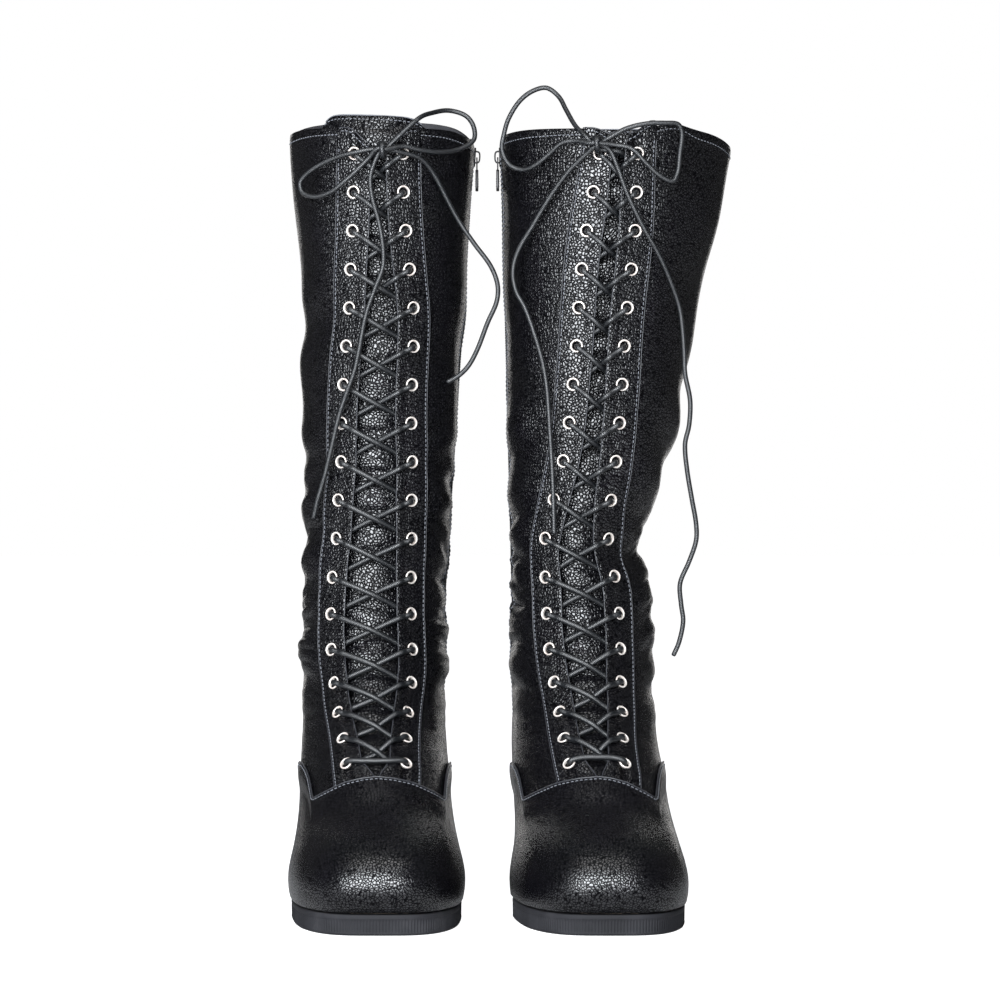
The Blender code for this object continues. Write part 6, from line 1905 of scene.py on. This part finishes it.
def flat_bar(line, side, half_w, half_t):
    """Bar of oblong section along a line, its width along side."""
    line = np.asarray(line)
    tang = np.gradient(line, axis=0)
    tang /= np.linalg.norm(tang, axis=1)[:, None]
    up = np.cross(tang, side)
    up /= np.linalg.norm(up, axis=1)[:, None]
    sec = [(1, 0.4), (0.7, 1), (-0.7, 1), (-1, 0.4), (-1, -0.4), (-0.7, -1), (0.7, -1), (1, -0.4)]
    n = len(sec)
    verts = np.concatenate([line + side * a * half_w + up * b * half_t for a, b in sec]).reshape(n, len(line), 3).transpose(1, 0, 2).reshape(-1, 3)
    faces = []
    for i in range(len(line) - 1):
        for q in range(n):
            q2 = (q + 1) % n
            faces.append([i * n + q, i * n + q2, (i + 1) * n + q2, (i + 1) * n + q])
    e = (len(line) - 1) * n
    if signed_volume(verts, faces) < 0:
        faces = [f[::-1] for f in faces]
    faces.append(list(range(n))[::-1])
    faces.append([e + k for k in range(n)])
    return verts, faces


def zip_axes(boot):
    top, low = boot.zip_point(ZIP_TOP_Z), boot.zip_point(0.18)
    down = (low - top) / np.linalg.norm(low - top)
    out = np.array([boot.m, 0.0, 0.0])
    out = out - down * (out @ down)
    out /= np.linalg.norm(out)
    return top, down, np.cross(down, out), out


def front_map(pieces):
    """Front-side samples of the outer face, facings included, for laying the bow on the shaft."""
    s = pieces.s
    V, U = np.meshgrid(np.linspace(8.0, TOP_V, 121), np.linspace(-0.6, 0.6, 161), indexing="ij")
    X = U * s.length(V, 1)
    H = np.where(np.abs(X) < pieces.column(pieces.d_at(V)) + FACING_OUT, 2.7 * MM, 1.2 * MM)
    P = s.at(U, V, H)
    return P.reshape(-1, 3)


def lay(samples, x, z, clear):
    """Point in front of the shaft at this x and z, pushed back until it meets its clearance or the hanging plane."""
    near = samples[(np.abs(samples[:, 0] - x) < 0.014) & (np.abs(samples[:, 2] - z) < 0.014)]
    back = HANG_Y
    if len(near):
        r2 = clear ** 2 - (near[:, 0] - x) ** 2 - (near[:, 2] - z) ** 2
        hit = r2 > 0
        if hit.any():
            back = min(back, float((near[hit, 1] - np.sqrt(r2[hit])).min()))
    return np.array([x, back, z])


for side_name in BOOTS:
    P = Pieces(side_name)
    P.quarters()
    P.vamp()
    P.linings()
    P.facings()
    P.tongue()
    P.lace()
    P.sole()
    P.zipper()
    P.finish_stitches()
    P.finish_beads()
    for node, look in (("insole_board", BOARD_MAT), ("footbed", FOAM_MAT), ("toe_puff", STIFF_MAT), ("heel_counter", STIFF_MAT), ("zip_bottom_stop", STEEL)):
        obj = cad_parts[f"{side_name}_{node}"]
        for s in obj.material_slots:
            s.material = look


# ================================================================ stage
def stage():
    mesh = bpy.data.meshes.new("floor")
    s = 12.0
    mesh.from_pydata([(-s, -s, -0.0002), (s, -s, -0.0002), (s, s, -0.0002), (-s, s, -0.0002)], [], [(0, 1, 2, 3)])
    floor = bpy.data.objects.new("floor", mesh)
    mat, nt, bsdf = nodes_of("floor_paint")
    bsdf.inputs["Base Color"].default_value = (0.62, 0.62, 0.63, 1)
    bsdf.inputs["Roughness"].default_value = 0.95
    bsdf.inputs["Specular IOR Level"].default_value = 0.0
    # the paper sweep is burnt out to white in the picture, and lights the object only softly
    glow = nt.nodes.new("ShaderNodeEmission")
    glow.inputs["Strength"].default_value = 1.0
    sight = nt.nodes.new("ShaderNodeLightPath")
    times = nt.nodes.new("ShaderNodeMixShader")
    none = nt.nodes.new("ShaderNodeEmission")
    none.inputs["Strength"].default_value = 0.0
    both = nt.nodes.new("ShaderNodeAddShader")
    nt.links.new(sight.outputs["Is Camera Ray"], times.inputs["Fac"])
    nt.links.new(none.outputs[0], times.inputs[1])
    nt.links.new(glow.outputs[0], times.inputs[2])
    nt.links.new(times.outputs[0], both.inputs[0])
    nt.links.new(bsdf.outputs[0], both.inputs[1])
    nt.links.new(both.outputs[0], nt.nodes["Material Output"].inputs["Surface"])
    mesh.materials.append(mat)
    bpy.context.scene.collection.objects.link(floor)

    world = bpy.data.worlds.new("studio")
    bpy.context.scene.world = world
    world.use_nodes = True
    nt = world.node_tree
    bg = nt.nodes["Background"]
    bg.inputs["Color"].default_value = (1.0, 1.0, 1.0, 1)
    bg.inputs["Strength"].default_value = 0.07
    white = nt.nodes.new("ShaderNodeBackground")
    white.inputs["Color"].default_value = (1, 1, 1, 1)
    white.inputs["Strength"].default_value = 1.0
    lp = nt.nodes.new("ShaderNodeLightPath")
    mixn = nt.nodes.new("ShaderNodeMixShader")
    nt.links.new(lp.outputs["Is Camera Ray"], mixn.inputs["Fac"])
    nt.links.new(bg.outputs[0], mixn.inputs[1])
    nt.links.new(white.outputs[0], mixn.inputs[2])
    nt.links.new(mixn.outputs[0], nt.nodes["World Output"].inputs["Surface"])

    def area(name, where, aim, size, power, colour=(1, 1, 1), size_y=None):
        from mathutils import Vector

        light = bpy.data.lights.new(name, "AREA")
        light.energy = power
        light.color = colour
        light.shape = "RECTANGLE"
        light.size = size
        light.size_y = size_y or size
        o = bpy.data.objects.new(name, light)
        o.location = where
        o.rotation_euler = (Vector(aim) - Vector(where)).to_track_quat("-Z", "Y").to_euler()
        o.visible_camera = False
        bpy.context.scene.collection.objects.link(o)

    area("key_softbox", (-0.52, -2.08, 0.70), (0.0, -0.03, 0.20), 1.75, 112.0, (0.92, 0.96, 1.0), 1.34)
    area("side_left", (-0.50, 1.9, 0.40), (0.0, 0.0, 0.25), 0.30, 2.0, (1, 0.98, 0.96), 1.2)
    area("side_right", (0.50, 1.9, 0.40), (0.0, 0.0, 0.25), 0.30, 2.0, (1, 0.98, 0.96), 1.2)
    area("back", (0.0, 1.9, 1.2), (0.0, 0.0, 0.25), 1.0, 2.0)
    area("overhead", (-0.15, -0.75, 2.0), (0.0, -0.05, 0.15), 1.3, 11.0, (1.0, 0.99, 0.98))

    cam = bpy.data.cameras.new("camera")
    cam.lens = 120
    cam.sensor_width = 36
    cam.clip_end = 60
    co = bpy.data.objects.new("camera", cam)
    co.location = (0.0057 + SHIFT[0], -2.0 + SHIFT[1], 0.237)
    co.rotation_euler = (math.pi / 2, 0, 0)
    bpy.context.scene.collection.objects.link(co)
    bpy.context.scene.camera = co
    bpy.context.scene.view_settings.view_transform = "Standard"
    bpy.context.scene.view_settings.look = "None"


stage()
